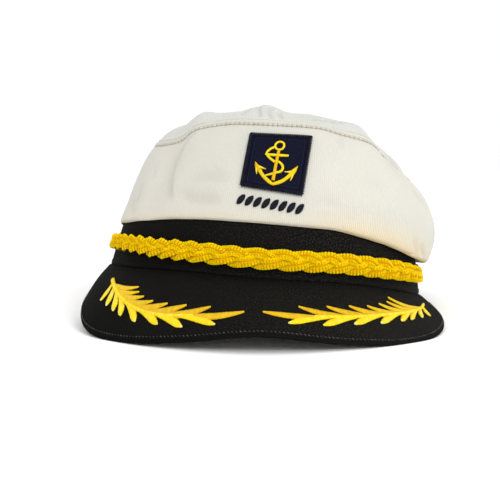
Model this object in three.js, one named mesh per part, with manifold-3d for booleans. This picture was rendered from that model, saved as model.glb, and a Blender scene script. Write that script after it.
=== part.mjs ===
// A yachting captain's hat: a soft white cotton crown on a black band, a stiff black peak,
// a three-strand gold braid held by two side buttons, a square anchor patch and gold leaf sprigs.
// Millimetres, +Z up, the wearer's front towards -Y. The hat lies on the floor plane z = 0
// as it does by itself: on the front rim of the peak and the back of the band.
import * as THREE from "three";
import { mergeVertices } from "three/addons/utils/BufferGeometryUtils.js";
import Module from "manifold-3d";

const wasm = await Module();
wasm.setup();

// Head and band. Length and width are taken outside the band at its lower edge.
const HEAD_LENGTH = 204;
const HEAD_WIDTH = 176;
const BAND_HEIGHT = 29.5;
const BAND_WALL = 2.4;
const BAND_DRAW_IN = 6;
const BAND_ROLL = 0.8;

// Crown: the stitched side wall and the puffed top panel, both of one cotton twill.
const CROWN_HEIGHT = 49;
const TOP_RISE = 16;
const CLOTH = 1.3;
const HEM_DROP = 12.4;
const HEM_OVERHANG = 6.8;
const BELLY_OVERHANG = 12.2;
const RIM_INSET = 16;
const FOLD_DEPTH = 5;

// Peak: a covered board that slopes down and forward from under the band.
const PEAK_REACH = 44.5;
const PEAK_DROP = 26;
const PEAK_THICKNESS = 2.6;
const PEAK_SPAN = 81;
const PEAK_BOW = 2.4;
const PEAK_TUCK = 1.2;

// Braid: three knitted cords plaited flat round the front of the band.
const BRAID_HEIGHT = 11;
const BRAID_SLANT = 1;
const BRAID_WIDTH = 11.6;
const BRAID_LAY = 39;
const STRAND_WIDTH = 4.2;
const STRAND_THICKNESS = 2;
const BRAID_SPAN = 94;
const BRAID_END_PRESS = 0.42;
const BRAID_END_REACH = 45;

// Buttons, patch and embroidery.
const BUTTON_DIAMETER = 11;
const BUTTON_CAP = 1.6;
const BUTTON_EDGE = 0.85;
const BUTTON_SHANK = 3.2;
const PATCH_SIDE = 30.5;
const PATCH_THICKNESS = 0.9;
const PATCH_BORDER = 2.6;
const PATCH_BORDER_THICKNESS = 1.2;
const PATCH_FOOT = 0.3;
const PATCH_BELOW_SEAM = 7.6;
const PATCH_SHIFT = 1.4;
const EMBLEM_HEIGHT = 24;
const EMBLEM_RELIEF = 0.7;
const ROPE_BAR_LENGTH = 33;
const ROPE_BAR_HEIGHT = 5;
const ROPE_BAR_BELOW_PATCH = 4;
const SPRIG_RELIEF = 0.9;
const LEAF_WIDTH = 3.2;
const STEM_WIDTH = 1.6;

// Clearance between neighbouring pieces, and how much the soft edges flatten on the floor.
const GAP = 0.3;
const FLOOR_PRESS = 0.5;

// How the soft hat lies: the band leans to the wearer's left, the peak's rim stays level.
const LEAN_DEG = 5.4;
const RIM_LEVEL = 1;

const AROUND = 60;

const rad = THREE.MathUtils.degToRad;
const lerp = THREE.MathUtils.lerp;
const smooth = THREE.MathUtils.smoothstep;
const vec = (x, y, z) => new THREE.Vector3(x, y, z);

// The cubic that runs from a to b with the end slopes given, t from 0 to 1.
function hermite(t, a, b, slopeA, slopeB) {
  const rise = 3 * t ** 2 - 2 * t ** 3;
  return (1 - rise) * a + rise * b + (t ** 3 - 2 * t ** 2 + t) * slopeA + (t ** 3 - t ** 2) * slopeB;
}

// Reads a table at an azimuth: every column is a closed smooth curve through its rows.
function periodic(rows, column, azimuth) {
  const count = rows.length;
  const a = ((((azimuth - rows[0].at) % 360) + 360) % 360) + rows[0].at;
  let i = count - 1;
  while (i > 0 && rows[i].at > a) i -= 1;
  const row = (k) => rows[((k % count) + count) % count];
  const at = (k) => row(k).at + 360 * Math.floor(k / count);
  const slope = (k) => (row(k + 1)[column] - row(k - 1)[column]) / (at(k + 1) - at(k - 1));
  const width = at(i + 1) - at(i);
  const t = (a - at(i)) / width;
  return hermite(t, row(i)[column], row(i + 1)[column], width * slope(i), width * slope(i + 1));
}

// The band's outline at a height: azimuth 0 is the front, 90 the wearer's left.
function bandPoint(azimuth, height, offset = 0) {
  const drawn = (BAND_DRAW_IN * height) / BAND_HEIGHT;
  const halfWidth = HEAD_WIDTH / 2 - drawn;
  const halfLength = HEAD_LENGTH / 2 - drawn;
  const s = Math.sin(rad(azimuth));
  const c = Math.cos(rad(azimuth));
  const normal = vec(s / halfWidth, -c / halfLength, 0).normalize();
  return vec(halfWidth * s, -halfLength * c, height).addScaledVector(normal, offset);
}

// A closed solid from a grid of points: rows[i][j], closed round the section and, if asked, in i.
function loft(rows, closedAlong = false) {
  const size = rows[0].length;
  const positions = [];
  const tri = (a, b, c) => positions.push(...a.toArray(), ...b.toArray(), ...c.toArray());
  const last = closedAlong ? rows.length : rows.length - 1;
  for (let i = 0; i < last; i += 1) {
    const here = rows[i];
    const next = rows[(i + 1) % rows.length];
    for (let j = 0; j < size; j += 1) {
      const k = (j + 1) % size;
      tri(here[j], next[j], next[k]);
      tri(here[j], next[k], here[k]);
    }
  }
  if (!closedAlong) {
    const cap = (row, flip) => {
      const flat = THREE.ShapeUtils.triangulateShape(flattened(row), []);
      for (const [a, b, c] of flat) {
        if (flip) tri(row[a], row[c], row[b]);
        else tri(row[a], row[b], row[c]);
      }
    };
    cap(rows[0], false);
    cap(rows[rows.length - 1], true);
  }
  return facingOut(positions);
}

// A section's points in their own plane, for the end caps.
function flattened(row) {
  const normal = vec(0, 0, 0);
  row.forEach((p, i) => {
    const q = row[(i + 1) % row.length];
    normal.x += (p.y - q.y) * (p.z + q.z);
    normal.y += (p.z - q.z) * (p.x + q.x);
    normal.z += (p.x - q.x) * (p.y + q.y);
  });
  normal.normalize();
  const u = row[1].clone().sub(row[0]);
  u.addScaledVector(normal, -u.dot(normal)).normalize();
  const v = normal.clone().cross(u);
  return row.map((p) => new THREE.Vector2(p.dot(u), p.dot(v)));
}

// Geometry from loose triangles, turned right side out.
function facingOut(positions) {
  let volume = 0;
  for (let i = 0; i < positions.length; i += 9) {
    const [ax, ay, az, bx, by, bz, cx, cy, cz] = positions.slice(i, i + 9);
    volume += ax * (by * cz - bz * cy) + ay * (bz * cx - bx * cz) + az * (bx * cy - by * cx);
  }
  if (volume < 0) {
    for (let i = 0; i < positions.length; i += 9) {
      for (let k = 0; k < 3; k += 1) {
        [positions[i + 3 + k], positions[i + 6 + k]] = [positions[i + 6 + k], positions[i + 3 + k]];
      }
    }
  }
  const geometry = new THREE.BufferGeometry();
  geometry.setAttribute("position", new THREE.Float32BufferAttribute(positions, 3));
  geometry.computeVertexNormals();
  return geometry;
}

// Joins closed geometries into one solid.
function joined(geometries) {
  let solid = null;
  for (const geometry of geometries) {
    const bare = new THREE.BufferGeometry();
    bare.setAttribute("position", geometry.getAttribute("position").clone());
    const merged = mergeVertices(bare, 1e-4);
    const piece = new wasm.Manifold(
      new wasm.Mesh({
        numProp: 3,
        vertProperties: merged.attributes.position.array,
        triVerts: new Uint32Array(merged.index.array),
      }),
    );
    solid = solid ? solid.add(piece) : piece;
  }
  const mesh = solid.getMesh();
  const geometry = new THREE.BufferGeometry();
  geometry.setAttribute("position", new THREE.Float32BufferAttribute(mesh.vertProperties, 3));
  geometry.setIndex([...mesh.triVerts]);
  geometry.computeVertexNormals();
  return geometry;
}

// Crown sections round the head. The columns are shares: drop of HEM_DROP, hem of HEM_OVERHANG,
// belly of BELLY_OVERHANG, inset of RIM_INSET, up of CROWN_HEIGHT.
const CROWN_SECTIONS = [
  { at: -180, drop: 0.5, hem: 0.7, belly: 0.7, inset: 0.9, up: 0.86 },
  { at: -135, drop: 0.5, hem: 0.45, belly: 0.5, inset: 0.85, up: 0.86 },
  { at: -90, drop: 0.5, hem: 0.05, belly: 0.1, inset: 0.7, up: 0.84 },
  { at: -68, drop: 0.46, hem: 0, belly: 0.06, inset: 0.76, up: 0.79 },
  { at: -47, drop: 0.4, hem: 0, belly: 0.08, inset: 0.9, up: 0.77 },
  { at: -38, drop: 0.37, hem: 0, belly: 0.08, inset: 0.9, up: 0.94 },
  { at: -20, drop: 0.31, hem: 0, belly: 0.06, inset: 0.97, up: 1.0 },
  { at: 0, drop: 0.3, hem: 0, belly: 0.05, inset: 1.0, up: 1.0 },
  { at: 18, drop: 0.35, hem: 0.06, belly: 0.14, inset: 0.95, up: 1.005 },
  { at: 28, drop: 0.42, hem: 0.16, belly: 0.28, inset: 0.86, up: 0.94 },
  { at: 40, drop: 0.54, hem: 0.35, belly: 0.5, inset: 0.76, up: 0.89 },
  { at: 56, drop: 0.78, hem: 0.7, belly: 0.8, inset: 0.58, up: 0.82 },
  { at: 75, drop: 0.98, hem: 0.76, belly: 0.97, inset: 0.46, up: 0.75 },
  { at: 98, drop: 1.0, hem: 0.78, belly: 1.0, inset: 0.44, up: 0.745 },
  { at: 135, drop: 0.8, hem: 0.9, belly: 0.92, inset: 0.7, up: 0.8 },
];

// Dents and creases of the cloth. at and wide are degrees; up and tall are shares of the
// profile (0 the hem, 1 the rim seam, 2 the middle of the top); depth is a share of FOLD_DEPTH.
const FOLDS = [
  { at: -45, wide: 6, up: 0.95, tall: 0.3, depth: 0.9 },
  { at: -50, wide: 4, up: 0.62, tall: 0.3, depth: 0.32 },
  { at: -28, wide: 13, up: 0.6, tall: 0.09, depth: 0.2 },
  { at: -34, wide: 12, up: 0.42, tall: 0.08, depth: 0.16 },
  { at: 58, wide: 8, up: 0.86, tall: 0.12, depth: 0.3 },
  { at: -26, wide: 8, up: 1.3, tall: 0.2, depth: 0.3 },
  { at: 0, wide: 11, up: 1.4, tall: 0.22, depth: -0.6 },
  { at: -62, wide: 14, up: 1.2, tall: 0.2, depth: -0.9 },
  { at: 30, wide: 10, up: 1.32, tall: 0.25, depth: 0.35 },
  { at: -75, wide: 16, up: 1.4, tall: 0.3, depth: 0.3 },
  { at: 130, wide: 18, up: 0.7, tall: 0.3, depth: 0.5 },
  { at: -150, wide: 16, up: 0.65, tall: 0.3, depth: 0.45 },
  { at: 170, wide: 14, up: 1.35, tall: 0.3, depth: 0.5 },
];

function foldDepth(azimuth, up) {
  let depth = 0;
  for (const fold of FOLDS) {
    const turn = ((((azimuth - fold.at) % 360) + 540) % 360) - 180;
    depth += fold.depth * Math.exp(-((turn / fold.wide) ** 2) - ((up - fold.up) / fold.tall) ** 2);
  }
  return depth * FOLD_DEPTH;
}

// One meridian of the crown, as [offset from the band's top edge, height] control points.
// The cloth laps down over the outside of the band. Where hem is large it puffs out past the
// band and folds back under itself, and where it is small it ends in a plain edge.
function crownProfile(azimuth) {
  const read = (column) => periodic(CROWN_SECTIONS, column, azimuth);
  const drop = read("drop") * HEM_DROP;
  const share = Math.max(0, read("hem"));
  const hem = share * HEM_OVERHANG;
  const belly = read("belly") * BELLY_OVERHANG;
  const inset = read("inset") * RIM_INSET;
  const rise = read("up") * CROWN_HEIGHT;
  const open = smooth(share, 0.1, 0.6);
  const clear = (down) => GAP + (BAND_DRAW_IN * down) / BAND_HEIGHT;
  const outer = [
    [clear(0), 0],
    [clear(0.35 * drop) + open * 0.15 * hem, -0.35 * drop],
    [clear(0.75 * drop) + open * 0.4 * hem, -0.75 * drop],
    [clear(drop) + 0.4 * CLOTH + open * 0.65 * hem, -drop],
    [clear(drop) + 1.1 * CLOTH + 0.95 * hem, -drop + 0.9 * CLOTH],
    [lerp(clear(drop) + CLOTH + hem, belly, 0.85), 0.2 * rise - 0.25 * drop],
    [lerp(belly, -inset, 0.26), 0.5 * rise],
    [lerp(belly, -inset, 0.6), 0.78 * rise],
    [-inset, rise],
  ];
  const fold = (k, x, up) => [outer[k][0] + x * CLOTH, outer[k][1] + up * CLOTH];
  const plain = (x, up) => [clear(0) - x * CLOTH, GAP + up * CLOTH];
  const mix = (a, b) => [lerp(a[0], b[0], open), lerp(a[1], b[1], open)];
  const inner = [
    mix(plain(0, 0), fold(0, 1, 0.2)),
    mix(plain(0.08, 0.7), fold(1, 1, 0.1)),
    mix(plain(0.15, 1.45), fold(2, 0.9, 0.55)),
    mix(plain(0.27, 2.2), fold(3, 0.3, 1.35)),
    mix(plain(0.38, 3.3), fold(4, -1, 0.4)),
    fold(5, -1, 0),
    fold(6, -0.95, -0.2),
    fold(7, -0.9, -0.4),
    fold(8, -0.9, -0.45),
  ];
  return { outer, inner };
}

const onCrown = (azimuth, [offset, height]) => {
  const p = bandPoint(azimuth, BAND_HEIGHT, offset);
  p.z += height;
  return p;
};

// The top panel's height from the rim (0) to the middle (1), and where its middle lies.
const TOP_MIDDLE = vec(0.02 * HEAD_WIDTH, 0, BAND_HEIGHT + CROWN_HEIGHT + TOP_RISE);
const TOP_STATIONS = [0.07, 0.2, 0.38, 0.62, 1];
const topSwell = (f) => (1 - (1 - f) ** 2) ** 0.62;

// The side wall and the top panel each run in their own smooth curve and meet at the rim seam.
const SIDE_KNOTS = 8;
function meridian(azimuth, part, which) {
  const side = crownProfile(azimuth)[which].map((p) => onCrown(azimuth, p));
  if (part === "side") return side;
  const rim = side[SIDE_KNOTS];
  const middle = TOP_MIDDLE.clone();
  if (which === "inner") middle.z -= CLOTH;
  const top = TOP_STATIONS.map((f) => {
    const p = rim.clone().lerp(middle, f);
    p.z = lerp(rim.z, middle.z, topSwell(f));
    return p;
  });
  return [rim, ...top];
}

// A point of the crown: up runs 0 to 1 over the side wall and 1 to 2 over the top panel.
const curves = new Map();
function crownPoint(azimuth, up, which = "outer", part = up > 1 ? "top" : "side") {
  const key = `${part} ${which} ${azimuth.toFixed(4)}`;
  if (!curves.has(key)) {
    const points = meridian(azimuth, part, which);
    curves.set(key, new THREE.CatmullRomCurve3(points, false, "centripetal"));
  }
  const p = curves.get(key).getPoint(part === "side" ? Math.min(1, up) : up - 1);
  const depth = foldDepth(azimuth, up) * smooth(up, 0.1, 0.4) * (1 - smooth(up, 1.75, 2));
  const inward = vec(-p.x, -p.y, 0).normalize();
  const steep = 1 - smooth(up, 0.9, 1.25);
  p.addScaledVector(inward, depth * lerp(0.15, 1, steep));
  p.z -= depth * lerp(0.9, 0.1, steep);
  return p;
}

// The edge of the side wall or the top panel, half a gap short of the rim seam.
function beforeSeam(azimuth, part, which) {
  const seam = crownPoint(azimuth, 1, which, part);
  const inside = crownPoint(azimuth, part === "side" ? 0.97 : 1.03, which, part);
  return seam.lerp(inside, (0.6 * GAP) / seam.distanceTo(inside));
}

const azimuths = Array.from({ length: AROUND }, (_, i) => -180 + (360 / AROUND) * i);

function crownSide() {
  const ups = [0, 0.1, 0.23, 0.375, 0.47, 0.56, 0.66, 0.77, 0.88];
  const face = (a, which) => [...ups.map((u) => crownPoint(a, u, which)), beforeSeam(a, "side", which)];
  return loft(azimuths.map((a) => [...face(a, "outer"), ...face(a, "inner").reverse()]), true);
}

function crownTop() {
  const ups = [1, 1.12, 1.28, 1.45, 1.63, 1.81];
  const centre = ["outer", "inner"].map((which) => crownPoint(0, 2, which));
  const positions = [];
  const tri = (a, b, c) => positions.push(...a.toArray(), ...b.toArray(), ...c.toArray());
  const face = (a, which) => [
    beforeSeam(a, "top", which),
    ...ups.slice(1).map((u) => crownPoint(a, u, which)),
  ];
  const grid = azimuths.map((a) => ({ outer: face(a, "outer"), inner: face(a, "inner") }));
  grid.forEach((here, i) => {
    const next = grid[(i + 1) % grid.length];
    for (let j = 0; j + 1 < ups.length; j += 1) {
      tri(here.outer[j], next.outer[j], next.outer[j + 1]);
      tri(here.outer[j], next.outer[j + 1], here.outer[j + 1]);
      tri(here.inner[j], next.inner[j + 1], next.inner[j]);
      tri(here.inner[j], here.inner[j + 1], next.inner[j + 1]);
    }
    const end = ups.length - 1;
    tri(here.outer[end], next.outer[end], centre[0]);
    tri(here.inner[end], centre[1], next.inner[end]);
    tri(here.outer[0], next.inner[0], next.outer[0]);
    tri(here.outer[0], here.inner[0], next.inner[0]);
  });
  return facingOut(positions);
}

function band() {
  const rows = azimuths.map((a) => [
    bandPoint(a, 0, -0.25 * BAND_WALL),
    bandPoint(a, BAND_ROLL, 0),
    bandPoint(a, BAND_HEIGHT, 0),
    bandPoint(a, BAND_HEIGHT, -BAND_WALL),
    bandPoint(a, 0, -BAND_WALL),
  ]);
  return loft(rows.map((row) => row.map(pressed)), true);
}

// The peak's rim. turn is a share of PEAK_SPAN, ahead and spread are shares of PEAK_REACH
// measured from the band's lower edge at that turn, drop is a share of PEAK_DROP.
const PEAK_RIM = [
  { turn: 0, ahead: 1, spread: 0, drop: 0.79 },
  { turn: 0.25, ahead: 0.98, spread: 0.12, drop: 0.94 },
  { turn: 0.5, ahead: 1.03, spread: 0.2, drop: 1.02 },
  { turn: 0.69, ahead: 1.09, spread: 0.24, drop: 0.9 },
  { turn: 0.84, ahead: 0.93, spread: 0.21, drop: 0.64 },
  { turn: 0.94, ahead: 0.54, spread: 0.1, drop: 0.32 },
  { turn: 1, ahead: 0.08, spread: 0.01, drop: 0.04 },
];
const rimCurves = Object.fromEntries(
  ["turn", "ahead", "spread", "drop"].map((column) => {
    const mirrored = column === "spread" || column === "turn" ? -1 : 1;
    const left = PEAK_RIM.slice(1).reverse().map((row) => mirrored * row[column]);
    return [column, [...left, ...PEAK_RIM.map((row) => row[column])]];
  }),
);

function rimValue(column, share) {
  const turns = rimCurves.turn;
  const values = rimCurves[column];
  let i = 0;
  while (i < turns.length - 2 && turns[i + 1] < share) i += 1;
  const slope = (k) => {
    const a = Math.max(0, k - 1);
    const b = Math.min(turns.length - 1, k + 1);
    return (values[b] - values[a]) / (turns[b] - turns[a]);
  };
  const width = turns[i + 1] - turns[i];
  const t = (share - turns[i]) / width;
  return hermite(t, values[i], values[i + 1], width * slope(i), width * slope(i + 1));
}

// A point of the peak's upper face. share runs -1 to 1 across, out 0 to 1 from band to rim.
function peakTop(share, out) {
  const seam = bandPoint(share * PEAK_SPAN, 0, -PEAK_TUCK);
  seam.z = -GAP;
  const rim = bandPoint(share * PEAK_SPAN, 0, 0);
  rim.x += rimValue("spread", share) * PEAK_REACH;
  rim.y -= rimValue("ahead", share) * PEAK_REACH;
  rim.z = -rimValue("drop", share) * PEAK_DROP;
  const p = seam.lerp(rim, out);
  p.z += PEAK_BOW * Math.sin(Math.PI * out) * rimValue("ahead", share);
  const twist = Math.tan(rad(LEAN_DEG)) * RIM_LEVEL * (1 - share ** 8) * out ** 2;
  p.set(p.x - p.z * twist, p.y, p.z + p.x * twist);
  return p;
}

function peakNormal(share, out) {
  const e = 0.01;
  const across = peakTop(share + e, out).sub(peakTop(share - e, out));
  const along = peakTop(share, out + e).sub(peakTop(share, out - e));
  const normal = along.cross(across).normalize();
  return normal.z < 0 ? normal.negate() : normal;
}

function peak() {
  const steps = 44;
  const outs = [0, 0.12, 0.28, 0.46, 0.64, 0.81, 0.93];
  const rows = [];
  for (let i = 0; i <= steps; i += 1) {
    const linear = (2 * i) / steps - 1;
    const share = Math.sign(linear) * (1 - (1 - Math.abs(linear)) ** 1.15);
    const under = (out, depth) =>
      peakTop(share, out).addScaledVector(peakNormal(share, out), -depth * PEAK_THICKNESS);
    rows.push(
      [
        ...outs.map((out) => peakTop(share, out)),
        under(0.985, 0.16),
        under(1, 0.5),
        under(0.985, 0.84),
        ...outs.map((out) => under(out, 1)).reverse(),
      ].map(pressed),
    );
  }
  return loft(rows);
}

// The floor under the leaning hat, found by tilting it back until the peak's rim and the
// back of the band touch down together.
function restTilt() {
  const lean = new THREE.Matrix4().makeRotationY(rad(LEAN_DEG));
  const rims = [];
  for (let share = -0.8; share <= 0.8; share += 0.02) {
    const p = peakTop(share, 1).addScaledVector(peakNormal(share, 1), -0.5 * PEAK_THICKNESS);
    rims.push(p.applyMatrix4(lean));
  }
  const feet = [];
  for (let a = 90; a <= 270; a += 1) feet.push(bandPoint(a, 0, -0.5 * BAND_WALL).applyMatrix4(lean));
  const lowest = (points, tilt) =>
    Math.min(...points.map((p) => p.y * Math.sin(tilt) + p.z * Math.cos(tilt)));
  let [low, high] = [rad(-30), 0];
  for (let i = 0; i < 60; i += 1) {
    const tilt = (low + high) / 2;
    if (lowest(rims, tilt) > lowest(feet, tilt)) low = tilt;
    else high = tilt;
  }
  const tilt = (low + high) / 2;
  return { tilt, lift: -lowest(feet, tilt) - FLOOR_PRESS };
}
const REST = restTilt();
const TO_FLOOR = new THREE.Matrix4()
  .makeTranslation(0, 0, REST.lift)
  .multiply(new THREE.Matrix4().makeRotationX(REST.tilt))
  .multiply(new THREE.Matrix4().makeRotationY(rad(LEAN_DEG)));
const FROM_FLOOR = TO_FLOOR.clone().invert();

// Flattens what would lie below the floor.
function pressed(p) {
  const q = p.clone().applyMatrix4(TO_FLOOR);
  if (q.z >= 0) return p;
  q.z = 0;
  return q.applyMatrix4(FROM_FLOOR);
}

// The braid. Each cord swings across and dips over and under the other two. A six-sided cord
// is narrower across than its corners' circle by the cosine of half a side's turn.
const BRAID_STEPS = 60;
const CORD_SIDES = 6;
const CORD_ACROSS = Math.cos(Math.PI / CORD_SIDES);
const braidHeight = (azimuth) => BRAID_HEIGHT - BRAID_SLANT * Math.sin(rad(azimuth));
function braidPath(azimuth) {
  const foot = bandPoint(azimuth, braidHeight(azimuth));
  const e = 0.5;
  const ahead = bandPoint(azimuth + e, braidHeight(azimuth + e));
  const behind = bandPoint(azimuth - e, braidHeight(azimuth - e));
  const along = ahead.sub(behind).normalize();
  const up = bandPoint(azimuth, foot.z + e).sub(bandPoint(azimuth, foot.z - e));
  up.addScaledVector(along, -up.dot(along)).normalize();
  const out = along.clone().cross(up);
  if (out.dot(vec(foot.x, foot.y, 0)) < 0) out.negate();
  return { foot, along, up, out };
}
const braidTurns = [];
{
  let length = 0;
  let previous = bandPoint(-BRAID_SPAN, braidHeight(-BRAID_SPAN));
  const fine = 720;
  for (let i = 0; i <= fine; i += 1) {
    const azimuth = -BRAID_SPAN + (2 * BRAID_SPAN * i) / fine;
    const p = bandPoint(azimuth, braidHeight(azimuth));
    length += p.distanceTo(previous);
    braidTurns.push({ azimuth, length });
    previous = p;
  }
}
const BRAID_LENGTH = braidTurns[braidTurns.length - 1].length;
function braidAzimuth(length) {
  const i = braidTurns.findIndex((row) => row.length >= length - 1e-9);
  if (i <= 0) return i < 0 ? BRAID_SPAN : -BRAID_SPAN;
  const [a, b] = [braidTurns[i - 1], braidTurns[i]];
  return lerp(a.azimuth, b.azimuth, (length - a.length) / (b.length - a.length));
}

const STRAND_SWING = (BRAID_WIDTH - CORD_ACROSS * STRAND_WIDTH) / 2;
const DIP_SHARPNESS = 0.22;
const STRAND_DIP = (STRAND_THICKNESS + 1.3 * GAP) / Math.sqrt(3) / (1 - DIP_SHARPNESS);
function strandCentre(length, phase) {
  const path = braidPath(braidAzimuth(length));
  const toEnd = Math.min(length, BRAID_LENGTH - length);
  const press = lerp(BRAID_END_PRESS, 1, smooth(toEnd, 0, BRAID_END_REACH));
  const angle = (2 * Math.PI * length) / BRAID_LAY + phase;
  const swing = STRAND_SWING * Math.sin(angle);
  const dip = STRAND_DIP * press * (Math.sin(2 * angle) - DIP_SHARPNESS * Math.sin(4 * angle));
  const depth = GAP + press * (STRAND_DIP + STRAND_THICKNESS / 2) + dip;
  const centre = path.foot.clone().addScaledVector(path.up, swing).addScaledVector(path.out, depth);
  return { centre, path, press };
}
function strand(index) {
  const phase = (index * 2 * Math.PI) / 3;
  const rows = [];
  for (let i = 0; i <= BRAID_STEPS; i += 1) {
    const length = (BRAID_LENGTH * i) / BRAID_STEPS;
    const { centre, path, press } = strandCentre(length, phase);
    const before = strandCentre(Math.max(0, length - 0.5), phase).centre;
    const after = strandCentre(Math.min(BRAID_LENGTH, length + 0.5), phase).centre;
    const along = after.sub(before).normalize();
    const wide = along.clone().cross(path.out).normalize();
    const thick = wide.clone().cross(along).normalize();
    const ring = [];
    for (let k = 0; k < CORD_SIDES; k += 1) {
      const turn = (2 * Math.PI * (k + 0.5)) / CORD_SIDES;
      ring.push(
        centre
          .clone()
          .addScaledVector(wide, (STRAND_WIDTH / 2) * Math.cos(turn))
          .addScaledVector(thick, ((press * STRAND_THICKNESS) / 2) * Math.sin(turn)),
      );
    }
    rows.push(ring);
  }
  return loft(rows);
}

// A side button: a low dome on a shank that stands on the band just past the cords' ends.
const BUTTON_TURN = BRAID_SPAN + 2.4;
const BUTTON_CLEAR = GAP + BRAID_END_PRESS * (2 * STRAND_DIP + STRAND_THICKNESS) + GAP;
function button() {
  const radius = BUTTON_DIAMETER / 2;
  const shank = BUTTON_SHANK / 2;
  const rim = BUTTON_CLEAR + BUTTON_EDGE;
  const top = BUTTON_CLEAR + BUTTON_CAP;
  const profile = [
    [0, GAP],
    [shank, GAP],
    [shank, BUTTON_CLEAR],
    [radius - 0.4 * BUTTON_EDGE, BUTTON_CLEAR],
    [radius, rim - 0.6 * BUTTON_EDGE],
    [radius - 0.25 * BUTTON_EDGE, rim - 0.1 * BUTTON_EDGE],
    [radius - BUTTON_EDGE, rim],
    [0.55 * radius, lerp(rim, top, 0.75)],
    [0, top],
  ].map(([x, y]) => new THREE.Vector2(x, y));
  return new THREE.LatheGeometry(profile, 16);
}
function placeButton(mesh, side) {
  const azimuth = side * BUTTON_TURN;
  const { foot, out } = braidPath(azimuth);
  mesh.position.copy(foot);
  mesh.quaternion.setFromUnitVectors(vec(0, 1, 0), out);
}

// Marks down the middle of the front panel: how far below the rim seam each share lies.
const panelMarks = [{ up: 1, below: 0 }];
while (panelMarks.at(-1).up > 0.2) {
  const { up, below } = panelMarks.at(-1);
  const next = up - 0.01;
  panelMarks.push({ up: next, below: below + crownPoint(0, up).distanceTo(crownPoint(0, next)) });
}
function panelUp(below) {
  const i = Math.max(1, panelMarks.findIndex((mark) => mark.below >= below));
  const [a, b] = [panelMarks[i - 1], panelMarks[i]];
  return lerp(a.up, b.up, (below - a.below) / (b.below - a.below));
}

// A point on the front panel. x runs to the wearer's left, below runs down from the rim seam,
// both in millimetres along the cloth, and lift is the height above it.
function panelPoint(x, below, lift) {
  const up = panelUp(below);
  const e = 2;
  const perDegree = crownPoint(e, up).distanceTo(crownPoint(-e, up)) / (2 * e);
  const azimuth = (x + PATCH_SHIFT) / perDegree;
  const across = crownPoint(azimuth + e, up).sub(crownPoint(azimuth - e, up));
  const along = crownPoint(azimuth, up + 0.02).sub(crownPoint(azimuth, up - 0.02));
  const normal = across.cross(along).normalize();
  if (normal.y > 0) normal.negate();
  return crownPoint(azimuth, up).addScaledVector(normal, lift);
}
const PATCH_MIDDLE = PATCH_BELOW_SEAM + PATCH_SIDE / 2;

function patch() {
  const half = PATCH_SIDE / 2;
  const border = half - PATCH_BORDER;
  const step = 0.45 * PATCH_BORDER;
  const stops = [-half, -border, -border + step, 0, border - step, border, half];
  const lift = (x, z) => {
    const edge = Math.max(Math.abs(x), Math.abs(z));
    return PATCH_FOOT + (edge > border - 0.01 ? PATCH_BORDER_THICKNESS : PATCH_THICKNESS);
  };
  const grid = (height) =>
    stops.map((x) => stops.map((z) => panelPoint(x, PATCH_MIDDLE - z, height(x, z))));
  return slab(grid(lift), grid(() => PATCH_FOOT));
}

// A closed solid between an upper and a lower grid of points.
function slab(upper, lower) {
  const positions = [];
  const tri = (a, b, c) => positions.push(...a.toArray(), ...b.toArray(), ...c.toArray());
  const quad = (a, b, c, d) => {
    tri(a, b, c);
    tri(a, c, d);
  };
  const rows = upper.length - 1;
  const columns = upper[0].length - 1;
  for (let i = 0; i < rows; i += 1) {
    for (let j = 0; j < columns; j += 1) {
      quad(upper[i][j], upper[i + 1][j], upper[i + 1][j + 1], upper[i][j + 1]);
      quad(lower[i][j], lower[i][j + 1], lower[i + 1][j + 1], lower[i + 1][j]);
    }
    quad(upper[i][0], lower[i][0], lower[i + 1][0], upper[i + 1][0]);
    quad(upper[i][columns], upper[i + 1][columns], lower[i + 1][columns], lower[i][columns]);
  }
  for (let j = 0; j < columns; j += 1) {
    quad(upper[0][j], upper[0][j + 1], lower[0][j + 1], lower[0][j]);
    quad(upper[rows][j], lower[rows][j], lower[rows][j + 1], upper[rows][j + 1]);
  }
  return facingOut(positions);
}

// One embroidered stroke: a low ridge along a path of [x, y, half width], laid on a surface.
function stroke(path, surface, relief) {
  const rows = path.map(([x, y, half], i) => {
    const [ax, ay] = path[Math.max(0, i - 1)];
    const [bx, by] = path[Math.min(path.length - 1, i + 1)];
    const length = Math.hypot(bx - ax, by - ay);
    const [nx, ny] = [-(by - ay) / length, (bx - ax) / length];
    const at = (side, lift) => surface(x + side * half * nx, y + side * half * ny, lift);
    return [at(-1, 0), at(-0.55, relief), at(0.55, relief), at(1, 0)];
  });
  return loft(rows);
}

const mirrorX = (path) => path.map(([x, y, half]) => [-x, y, half]);

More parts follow.
